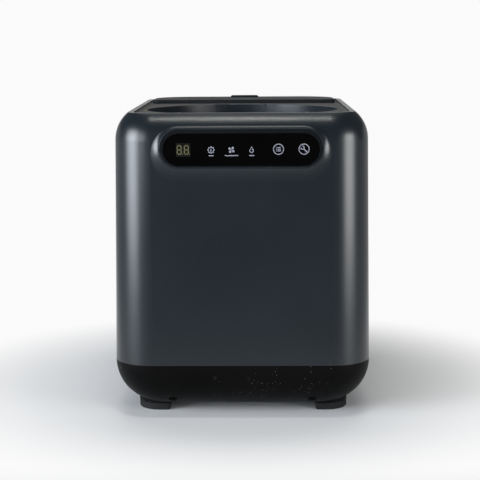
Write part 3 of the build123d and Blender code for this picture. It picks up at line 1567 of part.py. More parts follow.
board_face = main_board_x + board_thickness / 2
board_middle = main_board_bottom + main_board_rise / 2
with BuildPart() as main_board:
    with BuildSketch(Plane.YZ.offset(board_face - board_thickness)):
        with Locations((main_board_y, board_middle)):
            Rectangle(main_board_length, main_board_rise)
        with Locations(*board_hole_places):
            Circle(board_screw_diameter / 2, mode=Mode.SUBTRACT)
    extrude(amount=board_thickness)
save(main_board, "main_board")

with BuildPart() as board_screws:
    with BuildSketch(Plane.YZ.offset(board_face)):
        with Locations(*board_hole_places):
            Circle(board_screw_head / 2)
    extrude(amount=board_screw_diameter / 2)
    with BuildSketch(Plane.YZ.offset(board_face)):
        with Locations(*board_hole_places):
            Circle(board_screw_diameter / 2)
    extrude(amount=-board_screw_length)
save(board_screws, "board_screws")

with BuildPart() as board_components:
    # transformer, two relays and a heat sink, side by side
    with BuildSketch(Plane.YZ.offset(board_face)):
        with Locations((main_board_y - main_board_length / 6, board_middle - main_board_rise / 5)):
            Rectangle(main_board_length / 3, main_board_rise / 4)
    extrude(amount=3 * part_gap)
    with BuildSketch(Plane.YZ.offset(board_face)):
        with Locations((main_board_y + main_board_length / 5, board_middle - main_board_rise / 5)):
            with GridLocations(0, main_board_rise / 6, 1, 2):
                Rectangle(main_board_length / 5, main_board_rise / 8)
    extrude(amount=2 * part_gap)
    with BuildSketch(Plane.YZ.offset(board_face)):
        with Locations((main_board_y, board_middle + main_board_rise / 5)):
            with GridLocations(part_gap, 0, 6, 1):
                Rectangle(part_gap / 3, main_board_rise / 5)
            Rectangle(5 * part_gap, part_gap / 2)
    extrude(amount=2 * part_gap)
save(board_components, "board_components")
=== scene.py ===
"""Looks of an electric food waste composter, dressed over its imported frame.

Metres, +Z up, front to -Y.
"""
import json
import math

import bmesh
import bpy
from mathutils import Matrix, Vector


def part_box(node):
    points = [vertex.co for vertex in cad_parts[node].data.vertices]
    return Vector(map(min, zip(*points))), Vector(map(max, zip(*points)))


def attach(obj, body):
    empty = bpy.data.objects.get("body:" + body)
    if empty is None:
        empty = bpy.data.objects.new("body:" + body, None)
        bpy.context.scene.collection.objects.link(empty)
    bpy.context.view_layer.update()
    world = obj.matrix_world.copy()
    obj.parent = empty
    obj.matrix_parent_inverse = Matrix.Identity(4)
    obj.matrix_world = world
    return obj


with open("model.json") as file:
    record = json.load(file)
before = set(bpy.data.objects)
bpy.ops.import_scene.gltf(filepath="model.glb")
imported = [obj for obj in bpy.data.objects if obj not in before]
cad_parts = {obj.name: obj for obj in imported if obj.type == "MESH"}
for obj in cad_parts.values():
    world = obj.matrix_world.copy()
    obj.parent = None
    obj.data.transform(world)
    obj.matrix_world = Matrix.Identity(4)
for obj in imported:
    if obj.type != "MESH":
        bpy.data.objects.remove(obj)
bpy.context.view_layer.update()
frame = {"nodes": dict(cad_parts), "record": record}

MM = 0.001
WALL_LEAN = math.radians(0.75)          # the walls lean in towards the top
WALL_UP = Vector((0, math.sin(WALL_LEAN), math.cos(WALL_LEAN)))
WALL_OUT = Vector((0, -math.cos(WALL_LEAN), math.sin(WALL_LEAN)))   # out of the front wall

# ---------------------------------------------------------------- camera
PIXELS = 480                            # the photograph's width
FOCAL_PIXELS = 1371.0
SENSOR = 36.0
CAMERA_PLACE = Vector((0.0185, -1.486, 0.3797))
CAMERA_PITCH = math.radians(8.545)      # looking down
CAMERA_YAW = math.radians(0.87)         # turned to the left
CAMERA_ROLL = math.radians(-0.3)
CLIP_START = 0.05
CLIP_END = 60.0


def make_camera():
    """The photograph's view."""
    data = bpy.data.cameras.new("camera")
    data.sensor_width = SENSOR
    data.lens = FOCAL_PIXELS / PIXELS * SENSOR
    data.clip_start = CLIP_START
    data.clip_end = CLIP_END
    camera = bpy.data.objects.new("camera", data)
    bpy.context.scene.collection.objects.link(camera)
    forward = Vector((-math.sin(CAMERA_YAW) * math.cos(CAMERA_PITCH),
                      math.cos(CAMERA_YAW) * math.cos(CAMERA_PITCH),
                      -math.sin(CAMERA_PITCH)))
    level_right = Vector((math.cos(CAMERA_YAW), math.sin(CAMERA_YAW), 0))
    level_up = level_right.cross(forward)
    right = level_right * math.cos(CAMERA_ROLL) + level_up * math.sin(CAMERA_ROLL)
    up = right.cross(forward)
    turn = Matrix((right, up, -forward)).transposed()
    camera.matrix_world = Matrix.Translation(CAMERA_PLACE) @ turn.to_4x4()
    bpy.context.scene.camera = camera


# ---------------------------------------------------------------- node helpers
MIX_FACTOR, MIX_FIRST, MIX_SECOND, MIX_RESULT = 0, 6, 7, 2      # the colour sockets of a Mix node


def node(tree, kind, values=None, **settings):
    """A shader node with its settings and its unlinked socket values."""
    made = tree.nodes.new(kind)
    for key, value in settings.items():
        setattr(made, key, value)
    for key, value in (values or {}).items():
        made.inputs[key].default_value = value
    return made


def link(tree, source, output, target, socket):
    """Joins two sockets."""
    tree.links.new(source.outputs[output], target.inputs[socket])


def maths(tree, operation, *sources):
    """A math node over (node, output) pairs and plain numbers."""
    made = node(tree, "ShaderNodeMath", operation=operation)
    for socket, source in enumerate(sources):
        if isinstance(source, tuple):
            link(tree, *source, made, socket)
        else:
            made.inputs[socket].default_value = source
    return made


def shade(colour):
    """A colour with its alpha."""
    return (*colour, 1.0)


def find_node(tree, kind):
    """The first node of a kind."""
    return next(n for n in tree.nodes if n.type == kind)


def new_material(name):
    """An empty node material with its Principled shader."""
    made = bpy.data.materials.new(name)
    made.use_nodes = True
    return made, made.node_tree, find_node(made.node_tree, "BSDF_PRINCIPLED")


def place_by_object(tree, stretch=(1, 1, 1)):
    """The piece's own coordinates in metres, stretched for grain that runs one way."""
    coordinates = node(tree, "ShaderNodeTexCoord")
    mapping = node(tree, "ShaderNodeMapping", {"Scale": stretch})
    link(tree, coordinates, "Object", mapping, "Vector")
    return mapping


def noise(tree, place, scale, detail=3.0, roughness=0.5):
    """Fractal noise, scale in bumps a metre."""
    made = node(tree, "ShaderNodeTexNoise", {"Scale": scale, "Detail": detail, "Roughness": roughness})
    link(tree, place, "Vector", made, "Vector")
    return made


def ramp(tree, source, output, stops):
    """A colour ramp over a source, its stops as (position, colour)."""
    made = node(tree, "ShaderNodeValToRGB")
    elements = made.color_ramp.elements
    while len(elements) < len(stops):
        elements.new(1.0)
    for element, (position, colour) in zip(elements, stops):
        element.position = position
        element.color = shade(colour)
    link(tree, source, output, made, "Fac")
    return made


def spread(tree, source, output, low, high, start=0.3, end=0.7, ease="LINEAR"):
    """Maps a value's range from start to end onto low to high."""
    made = node(tree, "ShaderNodeMapRange",
                {"From Min": start, "From Max": end, "To Min": low, "To Max": high},
                interpolation_type=ease)
    link(tree, source, output, made, "Value")
    return made


def tinted(tree, shader, source, output, stops):
    """Colours a shader by a ramp over a source."""
    link(tree, ramp(tree, source, output, stops), "Color", shader, "Base Color")


def glossed(tree, shader, source, output, low, high, start=0.3, end=0.7):
    """Sets a shader's roughness from a value's range."""
    link(tree, spread(tree, source, output, low, high, start, end), "Result", shader, "Roughness")


def bump(tree, shader, height, output, depth, strength=1.0):
    """A bump of a given depth in metres."""
    made = node(tree, "ShaderNodeBump", {"Strength": strength, "Distance": depth})
    link(tree, height, output, made, "Height")
    link(tree, made, "Normal", shader, "Normal")


# ---------------------------------------------------------------- plastics and metals
PLASTIC_PATCH = 14.0                    # slow shifts of a moulding's colour, a metre
METAL_PATCH = 40.0
DUST_SCALE = 420.0                      # dust cells a metre
DUST_REACH = 0.12                       # a speck's share of its cell
DUST_PATCH = 24.0                       # dusty patches a metre
DUST_GATE = 0.55                        # dust lies where their noise is above this
DUST_COLOUR = (0.16, 0.16, 0.155)


def plastic(name, dark, light, rough, grain, depth, specular=0.4):
    """Moulded plastic: slow shifts of colour, a fine grain and uneven gloss."""
    made, tree, shader = new_material(name)
    shader.inputs["Specular IOR Level"].default_value = specular
    place = place_by_object(tree)
    slow = noise(tree, place, PLASTIC_PATCH, 4.0)
    fine = noise(tree, place, grain, 2.0)
    tinted(tree, shader, slow, "Fac", [(0.35, dark), (0.65, light)])
    glossed(tree, shader, slow, "Fac", *rough)
    bump(tree, shader, fine, "Fac", depth)
    return made


def metal(name, dark, light, rough, stretch, grain, depth):
    """Worked metal: streaks that run one way, in gloss and height, and slow shifts of colour."""
    made, tree, shader = new_material(name)
    shader.inputs["Metallic"].default_value = 1.0
    lines = noise(tree, place_by_object(tree, stretch), grain, 3.0, 0.6)
    slow = noise(tree, place_by_object(tree), METAL_PATCH, 3.0)
    tinted(tree, shader, slow, "Fac", [(0.3, dark), (0.7, light)])
    glossed(tree, shader, lines, "Fac", *rough)
    bump(tree, shader, lines, "Fac", depth)
    return made


def overlay(material, factor, output, colour):
    """Lays a colour over a plastic's own, by a factor."""
    tree = material.node_tree
    mixed = node(tree, "ShaderNodeMix", data_type="RGBA")
    mixed.inputs[MIX_SECOND].default_value = shade(colour)
    link(tree, factor, output, mixed, MIX_FACTOR)
    link(tree, find_node(tree, "VALTORGB"), "Color", mixed, MIX_FIRST)
    link(tree, mixed, MIX_RESULT, find_node(tree, "BSDF_PRINCIPLED"), "Base Color")


def dust(material):
    """Fine pale specks scattered over a plastic."""
    tree = material.node_tree
    place = place_by_object(tree)
    cells = node(tree, "ShaderNodeTexVoronoi", {"Scale": DUST_SCALE})
    link(tree, place, "Vector", cells, "Vector")
    gate = noise(tree, place, DUST_PATCH, 3.0, 0.6)
    near = maths(tree, "LESS_THAN", (cells, "Distance"), DUST_REACH)
    some = maths(tree, "GREATER_THAN", (gate, "Fac"), DUST_GATE)
    both = maths(tree, "MULTIPLY", (near, "Value"), (some, "Value"))
    overlay(material, both, "Value", DUST_COLOUR)


# ---------------------------------------------------------------- materials
# slot: name, darkest and lightest colour, roughness range, grain a metre, grain depth, specular level
PLASTICS = {
    "shell_plastic": ("satin_shell", (0.0031, 0.0064, 0.0098), (0.0038, 0.0076, 0.0112),
                      (0.27, 0.30), 260.0, 0.0000015, 0.50),
    "base_plastic": ("matte_base", (0.0016, 0.0016, 0.0017), (0.0026, 0.0025, 0.0025),
                     (0.40, 0.50), 1500.0, 0.00002, 0.06),
    "mark_paint": ("mark_paint", (0.42, 0.44, 0.06), (0.52, 0.54, 0.10), (0.45, 0.6), 1500.0, 0.00002),
    "foot_rubber": ("foot_rubber", (0.009, 0.009, 0.0095), (0.014, 0.014, 0.015),
                    (0.62, 0.8), 1200.0, 0.00006, 0.2),
    "electronics_black": ("moulded_black", (0.010, 0.010, 0.011), (0.017, 0.017, 0.018),
                          (0.45, 0.6), 1400.0, 0.00003),
    "lamp_clear": ("lamp_clear", (0.62, 0.62, 0.58), (0.74, 0.74, 0.70), (0.15, 0.3), 900.0, 0.00001),
    "grip_rubber": ("grip_rubber", (0.012, 0.012, 0.012), (0.02, 0.02, 0.02),
                    (0.6, 0.75), 1500.0, 0.00005),
    "ferrite": ("ferrite", (0.03, 0.03, 0.032), (0.05, 0.05, 0.052), (0.5, 0.7), 2200.0, 0.00005),
    "bay_plastic": ("bay_plastic", (0.02, 0.021, 0.022), (0.027, 0.028, 0.03),
                    (0.45, 0.58), 1600.0, 0.00003),
    "cap_plastic": ("satin_cap", (0.012, 0.014, 0.015), (0.016, 0.018, 0.019),
                    (0.36, 0.44), 2600.0, 0.000004, 0.04),
    "gasket_rubber": ("foam_gasket", (0.025, 0.025, 0.026), (0.045, 0.045, 0.046),
                      (0.8, 0.95), 3200.0, 0.0001),
    "seal_rubber": ("deck_seal_rubber", (0.050, 0.050, 0.049), (0.070, 0.070, 0.068),
                    (0.55, 0.7), 2400.0, 0.00003, 0.35),
    "fan_plastic": ("fan_plastic", (0.014, 0.014, 0.015), (0.02, 0.02, 0.021),
                    (0.35, 0.5), 1300.0, 0.00002),
}
# slot: name, darkest and lightest colour, roughness range, stretch, grain a metre, grain depth
METALS = {
    "steel": ("bare_steel", (0.48, 0.48, 0.49), (0.60, 0.60, 0.61),
              (0.22, 0.38), (1, 1, 9), 900.0, 0.00001),
    "blade_steel": ("blade_steel", (0.40, 0.40, 0.41), (0.52, 0.52, 0.53),
                    (0.3, 0.5), (1, 1, 1), 500.0, 0.00005),
    "bronze": ("sintered_bronze", (0.42, 0.26, 0.12), (0.60, 0.40, 0.20),
               (0.35, 0.55), (1, 1, 1), 2200.0, 0.00003),
    "bright_wire": ("polished_wire", (0.70, 0.70, 0.71), (0.78, 0.78, 0.79),
                    (0.08, 0.16), (1, 1, 1), 700.0, 0.000004),
    "bare_aluminium": ("pressed_aluminium", (0.60, 0.60, 0.61), (0.72, 0.72, 0.73),
                       (0.28, 0.45), (1, 1, 14), 500.0, 0.00002),
    "mica_band": ("mica_band", (0.30, 0.28, 0.25), (0.42, 0.39, 0.34),
                  (0.35, 0.55), (1, 1, 1), 300.0, 0.00008),
    "gear_steel": ("machined_steel", (0.33, 0.33, 0.34), (0.45, 0.45, 0.46),
                   (0.25, 0.4), (1, 1, 0.1), 1800.0, 0.00001),
    "case_alloy": ("cast_alloy", (0.42, 0.43, 0.44), (0.54, 0.55, 0.56),
                   (0.4, 0.6), (1, 1, 1), 1300.0, 0.00008),
    "motor_can": ("plated_can", (0.20, 0.20, 0.21), (0.27, 0.27, 0.28),
                  (0.3, 0.42), (1, 1, 8), 600.0, 0.00001),
    "pin_brass": ("plated_brass", (0.62, 0.50, 0.27), (0.72, 0.60, 0.35),
                  (0.15, 0.3), (1, 9, 1), 900.0, 0.000008),
}


def make_materials():
    """One procedural material for each slot of the record, and one for the seal."""
    made = {slot: plastic(*values) for slot, values in PLASTICS.items()}
    dust(made["base_plastic"])
    made.update((slot, metal(*values)) for slot, values in METALS.items())
    made["deck_plastic"] = deck_material()
    made["bezel_gloss"] = bezel_material()
    made["lens_black"] = lens_material()
    made["board_green"] = board_material()
    made["bucket_coating"] = coating_material()
    made["felt"] = felt_material()
    made["copper_winding"] = winding_material()
    made["carbon"] = carbon_material()
    return made


def deck_material():
    """Textured deck on top; upright faces such as the well's wall are smoother and painted darker, a
    painted shade.
    """
    made, tree, shader = new_material("textured_deck")
    shader.inputs["Specular IOR Level"].default_value = 0.4
    geometry = node(tree, "ShaderNodeNewGeometry")
    parts = node(tree, "ShaderNodeSeparateXYZ")
    link(tree, geometry, "Normal", parts, "Vector")
    flat = maths(tree, "ABSOLUTE", (parts, "Z"))
    upward = spread(tree, flat, "Value", 0.0, 1.0)
    speckle = noise(tree, place_by_object(tree), 1100.0, 3.0, 0.7)
    tint = ramp(tree, speckle, "Fac", [(0.35, (0.042, 0.042, 0.040)), (0.68, (0.100, 0.099, 0.094))])
    # painted shade: upright faces get a darker, bluish colour than the faces that look up
    mixed = node(tree, "ShaderNodeMix", data_type="RGBA")
    mixed.inputs[MIX_FIRST].default_value = shade((0.013, 0.017, 0.022))
    link(tree, upward, "Result", mixed, MIX_FACTOR)
    link(tree, tint, "Color", mixed, MIX_SECOND)
    link(tree, mixed, MIX_RESULT, shader, "Base Color")
    glossed(tree, shader, upward, "Result", 0.30, 0.62, 0.0, 1.0)
    bump(tree, shader, speckle, "Fac", 0.00008, 0.7)
    return made


def bezel_material():
    """Black bezel with a painted highlight: its rounded edge and inner walls, where they turn away from
    the front, are painted paler.
    """
    made = plastic("bezel_satin", (0.004, 0.005, 0.006), (0.005, 0.006, 0.0075),
                   (0.16, 0.22), 3000.0, 0.0000004, 0.16)
    tree = made.node_tree
    geometry = node(tree, "ShaderNodeNewGeometry")
    facing = node(tree, "ShaderNodeVectorMath", {1: WALL_OUT}, operation="DOT_PRODUCT")
    link(tree, geometry, "True Normal", facing, 0)
    # painted highlight: faces turned away from the front get a paler colour, standing in for the light
    # caught on the bezel's rounded edge
    edge = spread(tree, facing, "Value", 1.0, 0.0, 0.30, 0.96)
    overlay(made, edge, "Result", (0.075, 0.090, 0.100))
    return made


def lens_material():
    """Gloss black lens with faint smears."""
    made, tree, shader = new_material("lens_black")
    shader.inputs["Specular IOR Level"].default_value = 0.06
    smear = noise(tree, place_by_object(tree, (0.25, 1, 1)), 60.0, 5.0, 0.6)
    tinted(tree, shader, smear, "Fac",
           [(0.3, (0.0003, 0.0004, 0.0003)), (0.75, (0.0011, 0.0011, 0.0009))])
    glossed(tree, shader, smear, "Fac", 0.10, 0.17)
    return made


def board_material():
    """Green lacquered board with a grid of paler runs under the lacquer."""
    made, tree, shader = new_material("circuit_board")
    place = place_by_object(tree)
    bricks = node(tree, "ShaderNodeTexBrick",
                  {"Scale": 160.0, "Mortar Size": 0.035, "Color1": shade((0.012, 0.085, 0.03)),
                   "Color2": shade((0.014, 0.10, 0.036)), "Mortar": shade((0.04, 0.20, 0.06))})
    turned_place = node(tree, "ShaderNodeMapping",
                        {"Rotation": (math.radians(90), 0, math.radians(90))})
    link(tree, place, "Vector", turned_place, "Vector")
    link(tree, turned_place, "Vector", bricks, "Vector")
    link(tree, bricks, "Color", shader, "Base Color")
    glossed(tree, shader, noise(tree, place, 120.0), "Fac", 0.25, 0.4)
    bump(tree, shader, bricks, "Fac", 0.00005)
    return made


def coating_material():
    """Dark non-stick coating with fine pale flecks and uneven gloss."""
    made, tree, shader = new_material("non_stick_coating")
    place = place_by_object(tree)
    flecks = node(tree, "ShaderNodeTexVoronoi", {"Scale": 700.0})
    link(tree, place, "Vector", flecks, "Vector")
    tinted(tree, shader, flecks, "Distance",
           [(0.06, (0.16, 0.16, 0.16)), (0.16, (0.028, 0.028, 0.029))])
    glossed(tree, shader, noise(tree, place, 30.0, 5.0, 0.65), "Fac", 0.28, 0.5)
    bump(tree, shader, noise(tree, place, 1800.0), "Fac", 0.00002)
    return made


def felt_material():
    """Pressed ceramic felt: tangled pale fibres."""
    made, tree, shader = new_material("ceramic_felt")
    fibres = noise(tree, place_by_object(tree, (1, 1, 0.3)), 900.0, 8.0, 0.75)
    tinted(tree, shader, fibres, "Fac", [(0.3, (0.48, 0.47, 0.43)), (0.7, (0.70, 0.69, 0.65))])
    shader.inputs["Roughness"].default_value = 0.95
    shader.inputs["Sheen Weight"].default_value = 0.3
    bump(tree, shader, fibres, "Fac", 0.0006)
    return made


def carbon_material():
    """Carbon granules."""
    made, tree, shader = new_material("carbon_granules")
    grains = node(tree, "ShaderNodeTexVoronoi", {"Scale": 420.0})
    link(tree, place_by_object(tree), "Vector", grains, "Vector")
    tinted(tree, shader, grains, "Distance",
           [(0.1, (0.022, 0.022, 0.023)), (0.6, (0.004, 0.004, 0.004))])
    glossed(tree, shader, grains, "Distance", 0.45, 0.9, 0.0, 0.6)
    bump(tree, shader, grains, "Distance", 0.0012, 0.8)
    return made


def winding_material():
    """Armature of copper turns, banded along the shaft."""
    made, tree, shader = new_material("copper_winding")
    shader.inputs["Metallic"].default_value = 1.0
    turns = node(tree, "ShaderNodeTexWave", {"Scale": 320.0, "Distortion": 0.4}, bands_direction="Z")
    link(tree, place_by_object(tree), "Vector", turns, "Vector")
    tinted(tree, shader, turns, "Fac", [(0.2, (0.32, 0.12, 0.05)), (0.8, (0.62, 0.28, 0.13))])
    glossed(tree, shader, turns, "Fac", 0.25, 0.45, 0.0, 1.0)
    bump(tree, shader, turns, "Fac", 0.0003)
    return made


def dress_cad_nodes(materials):
    """Gives each carried-over CAD node its slot's material."""
    for row in frame["record"]["subparts"]:
        shown = frame["nodes"][row["node"]]
        for place in shown.material_slots:
            place.material = materials[row["material_slot"]]


# ---------------------------------------------------------------- new objects
def new_object(name, mesh, material, smooth):
    """Puts a mesh in the scene as an object."""
    data = bpy.data.meshes.new(name)
    mesh.to_mesh(data)
    mesh.free()
    for polygon in data.polygons:
        polygon.use_smooth = smooth
    data.materials.append(material)
    made = bpy.data.objects.new(name, data)
    bpy.context.scene.collection.objects.link(made)
    return made


def wrapped_pairs(points):
    """Each point of a loop with the next one."""
    return list(zip(points, points[1:] + points[:1]))


# ---------------------------------------------------------------- seal round the deck
SEAL_RADIUS = 1.25 * MM                 # the bead's half width
SEAL_SINK = 0.35 * MM                   # the bead's middle below the deck
SEAL_TURNS = 14                         # steps along each corner
SEAL_SIDES = 10                         # points round the bead
DECK_CORNER = 18.75 * MM                # the deck's corners in plan
DECK_GAP = 0.15 * MM                    # half of the gap round the deck


def deck_path():
    """Points round the deck's edge, each with its outward direction."""
    low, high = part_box("top_deck")
    half_x, half_y = (high.x - low.x) / 2 + DECK_GAP, (high.y - low.y) / 2 + DECK_GAP
    middle = (low + high) / 2
    made = []
    for quarter, (side_x, side_y) in enumerate(((1, 1), (-1, 1), (-1, -1), (1, -1))):
        for i in range(SEAL_TURNS + 1):
            angle = math.radians(90) * (quarter + i / SEAL_TURNS)
            out = Vector((math.cos(angle), math.sin(angle), 0))
            centre = Vector((middle.x + side_x * (half_x - DECK_CORNER),
                             middle.y + side_y * (half_y - DECK_CORNER), high.z - SEAL_SINK))
            made.append((centre + out * DECK_CORNER, out))
    return made


def make_seal(materials):
    """A soft round bead pressed into the gap between the rim and the deck."""
    mesh = bmesh.new()
    turns = [math.tau * i / SEAL_SIDES for i in range(SEAL_SIDES)]
    rings = [[mesh.verts.new(place + out * (SEAL_RADIUS * math.cos(turn))
                             + Vector((0, 0, SEAL_RADIUS * math.sin(turn)))) for turn in turns]
             for place, out in deck_path()]
    for here, there in wrapped_pairs(rings):
        for (a, b), (c, d) in zip(wrapped_pairs(here), wrapped_pairs(there)):
            mesh.faces.new((a, c, d, b))
    bmesh.ops.recalc_face_normals(mesh, faces=mesh.faces)
    made = new_object("deck_seal", mesh, materials["seal_rubber"], True)
    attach(made, "casing")


# ---------------------------------------------------------------- outlines of signs, in millimetres
def arc(centre, radius, start, end, count):
    """Points along an arc, in degrees."""
    angles = [math.radians(start + (end - start) * i / count) for i in range(count + 1)]
    return [(centre[0] + radius * math.cos(a), centre[1] + radius * math.sin(a)) for a in angles]


def disc(centre, radius, count):
    """A full circle as one outline."""
    return arc(centre, radius, 0, 360, count)[:-1]


def ring(centre, radius, width, count=48):
    """A closed ring as an outer and an inner loop."""
    return disc(centre, radius, count), disc(centre, radius - width, count)


def arc_band(centre, radius, width, start, end, count):
    """A stretch of a ring, as one outline."""
    return arc(centre, radius, start, end, count) + arc(centre, radius - width, end, start, count)


def moved(points, centre, degrees):
    """Points round the origin, turned and moved to a centre."""
    c, s = math.cos(math.radians(degrees)), math.sin(math.radians(degrees))
    return [(centre[0] + x * c - y * s, centre[1] + x * s + y * c) for x, y in points]


def bar(centre, width, height, degrees=0.0):
    """A small rectangle, turned."""
    x, y = width / 2, height / 2
    return moved([(-x, -y), (x, -y), (x, y), (-x, y)], centre, degrees)


# ---------------------------------------------------------------- digits and pictograms
DIGIT_MIDDLE = -55.9                    # all places are from the lens' middle
DIGIT_SHIFT = 0.3                       # the digits stand left of their window's middle, for the points
DIGIT_PITCH = 6.9
DIGIT_WIDTH = 4.8
DIGIT_RISE = 9.1
SEGMENT = 0.95                          # a segment's thickness
SEGMENT_GAP = 0.2
POINT_ASIDE = 0.65                      # the decimal point's middle from the digit's edge
DIGIT_WINDOW = (13.9, 13.4)
LAMP_SPOTS = (-29.0, -9.3, 10.1)        # the three pictograms above the lamps
ICON_LEVEL = -0.1
LABEL_LEVEL = -5.6
LABEL_RISE = 0.85
LABEL_WIDTHS = (4.6, 13.1, 5.0)
KEY_SPOTS = (36.0, 60.6)                # the two ringed touch keys
KEY_LEVEL = 0.35
KEY_RADIUS = 5.3
KEY_LINE = 0.8
SMALL_ROUND = 12                        # points round a small disc
TIMER_RADIUS, TIMER_LINE = 2.9, 0.6
RAY_COUNT, RAY_PLACE, RAY_SIZE = 8, 3.2, (1.1, 0.6)
HAND_LEVEL, HAND_SIZE = 0.45, (0.65, 2.0)
BULB_SINK, BULB_RADIUS = 0.7, 0.7
FAN_BLADE = ((0.4, 0.6), (1.6, 1.0), (2.3, 2.1), (1.6, 3.1), (0.3, 3.0), (-0.2, 1.6))
FAN_BLADES, FAN_TURN = 4, -8
HUB_RADIUS, HUB_LINE = 0.75, 0.35
DROP_TIP, DROP_RADIUS = 3.2, 2.15
DROP_SINK = 0.8                         # the round end's middle below the pictogram's
DROP_ROUND = (160, 380)                 # the round end, in degrees
DROP_HOLLOW = 0.7                       # the inner line's share of the outer
DROP_CORE = 0.35                        # the middle that it shrinks to, below the pictogram's
GLINT_PLACE, GLINT_SIZE, GLINT_TURN = (0.6, 0.2), (0.5, 1.4), -24
LIST_PITCH, LIST_RISE = 1.55, 0.85
TICK_PLACE, LINE_PLACE, LINE_WIDTH = -1.75, 0.65, 3.1
JAW_PLACE, JAW_RADIUS, JAW_WIDTH, JAW_ROUND = (-1.4, 1.4), 1.95, 0.85, (175, 455)
SHANK_PLACE, SHANK_SIZE, SHANK_TURN = (1.0, -1.0), (3.8, 0.95), -45
HEEL_PLACE, HEEL_RADIUS = (2.2, -2.2), 0.9


def segment(x, y, length, upright):
    """One six-sided stroke of a digit."""
    tip = SEGMENT / 2
    half = length / 2 - SEGMENT_GAP
    flat = [(-half, 0), (-half + tip, -tip), (half - tip, -tip), (half, 0), (half - tip, tip),
            (-half + tip, tip)]
    return moved(flat, (x, y), 90 if upright else 0)


def digit_outlines(middle):
    """The seven segments and the point of one digit."""
    half_w, half_h = DIGIT_WIDTH / 2 - SEGMENT / 2, DIGIT_RISE / 2 - SEGMENT / 2
    made = [segment(middle, y, 2 * half_w, False) for y in (-half_h, 0, half_h)]
    made += [segment(x, y, half_h, True)
             for x in (middle - half_w, middle + half_w) for y in (-half_h / 2, half_h / 2)]
    made.append(disc((middle + DIGIT_WIDTH / 2 + POINT_ASIDE, -half_h), SEGMENT / 2, SMALL_ROUND))
    return made


def timer_icon(x):
    """A ring with short rays round it and a pointer inside."""
    centre = (x, ICON_LEVEL)
    made = [ring(centre, TIMER_RADIUS, TIMER_LINE)]
    for i in range(RAY_COUNT):
        turn = 360 / RAY_COUNT * i
        made.append(bar(moved([(0, RAY_PLACE)], centre, turn)[0], *RAY_SIZE, turn))
    made.append(bar((x, ICON_LEVEL + HAND_LEVEL), *HAND_SIZE))
    made.append(disc((x, ICON_LEVEL - BULB_SINK), BULB_RADIUS, SMALL_ROUND))
    return made


def fan_icon(x):
    """Swept blades round a hub."""
    centre = (x, ICON_LEVEL)
    made = [moved(FAN_BLADE, centre, 360 / FAN_BLADES * i + FAN_TURN) for i in range(FAN_BLADES)]
    made.append(ring(centre, HUB_RADIUS, HUB_LINE, SMALL_ROUND))
    return made


def drop_icon(x):
    """A water drop drawn as a line, with a glint inside."""
    round_end = arc((x, ICON_LEVEL - DROP_SINK), DROP_RADIUS, *DROP_ROUND, 20)
    outer = [(x, ICON_LEVEL + DROP_TIP)] + round_end
    core = ICON_LEVEL - DROP_CORE
    inner = [(x + (px - x) * DROP_HOLLOW, core + (py - core) * DROP_HOLLOW) for px, py in outer]
    glint = moved([GLINT_PLACE], (x, ICON_LEVEL), 0)[0]
    return [(outer, inner), bar(glint, *GLINT_SIZE, GLINT_TURN)]


def list_icon(x):
    """Three ticked lines in a ring."""
    made = [ring((x, KEY_LEVEL), KEY_RADIUS, KEY_LINE)]
    for i in (-1, 0, 1):
        y = KEY_LEVEL + LIST_PITCH * i
        made += [bar((x + TICK_PLACE, y), LIST_RISE, LIST_RISE),
                 bar((x + LINE_PLACE, y), LINE_WIDTH, LIST_RISE)]
    return made


def tool_icon(x):
    """An open-ended spanner in a ring."""
    jaw, shank, heel = moved([JAW_PLACE, SHANK_PLACE, HEEL_PLACE], (x, KEY_LEVEL), 0)
    return [ring((x, KEY_LEVEL), KEY_RADIUS, KEY_LINE),
            arc_band(jaw, JAW_RADIUS, JAW_WIDTH, *JAW_ROUND, 18),
            bar(shank, *SHANK_SIZE, SHANK_TURN),
            disc(heel, HEEL_RADIUS, 14)]


# ---------------------------------------------------------------- signs on the lens
SIGN_LIFT = 0.05 * MM                   # printed marks stand this far off what they are printed on
SIGN_INK = ("sign_ink", (0.20, 0.20, 0.245), (0.25, 0.25, 0.295), (0.5, 0.6), 1500.0, 0.000002)
SIGN_GLOW = ("digit_glow", (0.070, 0.064, 0.026), (0.090, 0.084, 0.036), (0.5, 0.6), 1500.0, 0.000002)
SIGN_WINDOW = ("digit_window", (0.003, 0.003, 0.0028), (0.004, 0.004, 0.0037), (0.3, 0.4),
               1500.0, 0.000002, 0.1)
GLOW_COLOUR = (0.62, 0.55, 0.22)
GLOW_STRENGTH = 0.035


def lens_middle():
    """The middle of the lens' outer plane."""
    low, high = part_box("panel_lens")
    foot = Vector(((low.x + high.x) / 2, low.y, low.z))
    return foot + WALL_UP * ((high.z - low.z - (high.y - low.y) * math.sin(WALL_LEAN)) / 2)


def printed(name, outlines, material, level=0.0):
    """Flat printed marks on the lens. A plain outline is filled, a pair of loops is a ring."""
    middle = lens_middle() + WALL_OUT * level
    mesh = bmesh.new()

    def raised(outline, lift):
        return [mesh.verts.new(middle + Vector((x * MM, 0, 0)) + WALL_UP * (y * MM) + WALL_OUT * lift)
                for x, y in outline]

    def wall(first, second):
        for (a, b), (c, d) in zip(wrapped_pairs(first), wrapped_pairs(second)):
            mesh.faces.new((a, b, d, c))

    for outline in outlines:
        if isinstance(outline, tuple):
            outer, inner = (raised(loop, SIGN_LIFT) for loop in outline)
            outer_foot, inner_foot = (raised(loop, 0.0) for loop in outline)
            wall(outer, inner)
            wall(outer_foot, outer)
            wall(inner, inner_foot)
        else:
            top = raised(outline, SIGN_LIFT)
            mesh.faces.new(top)
            wall(raised(outline, 0.0), top)
    bmesh.ops.recalc_face_normals(mesh, faces=mesh.faces)
    made = new_object(name, mesh, material, False)
    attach(made, "casing")


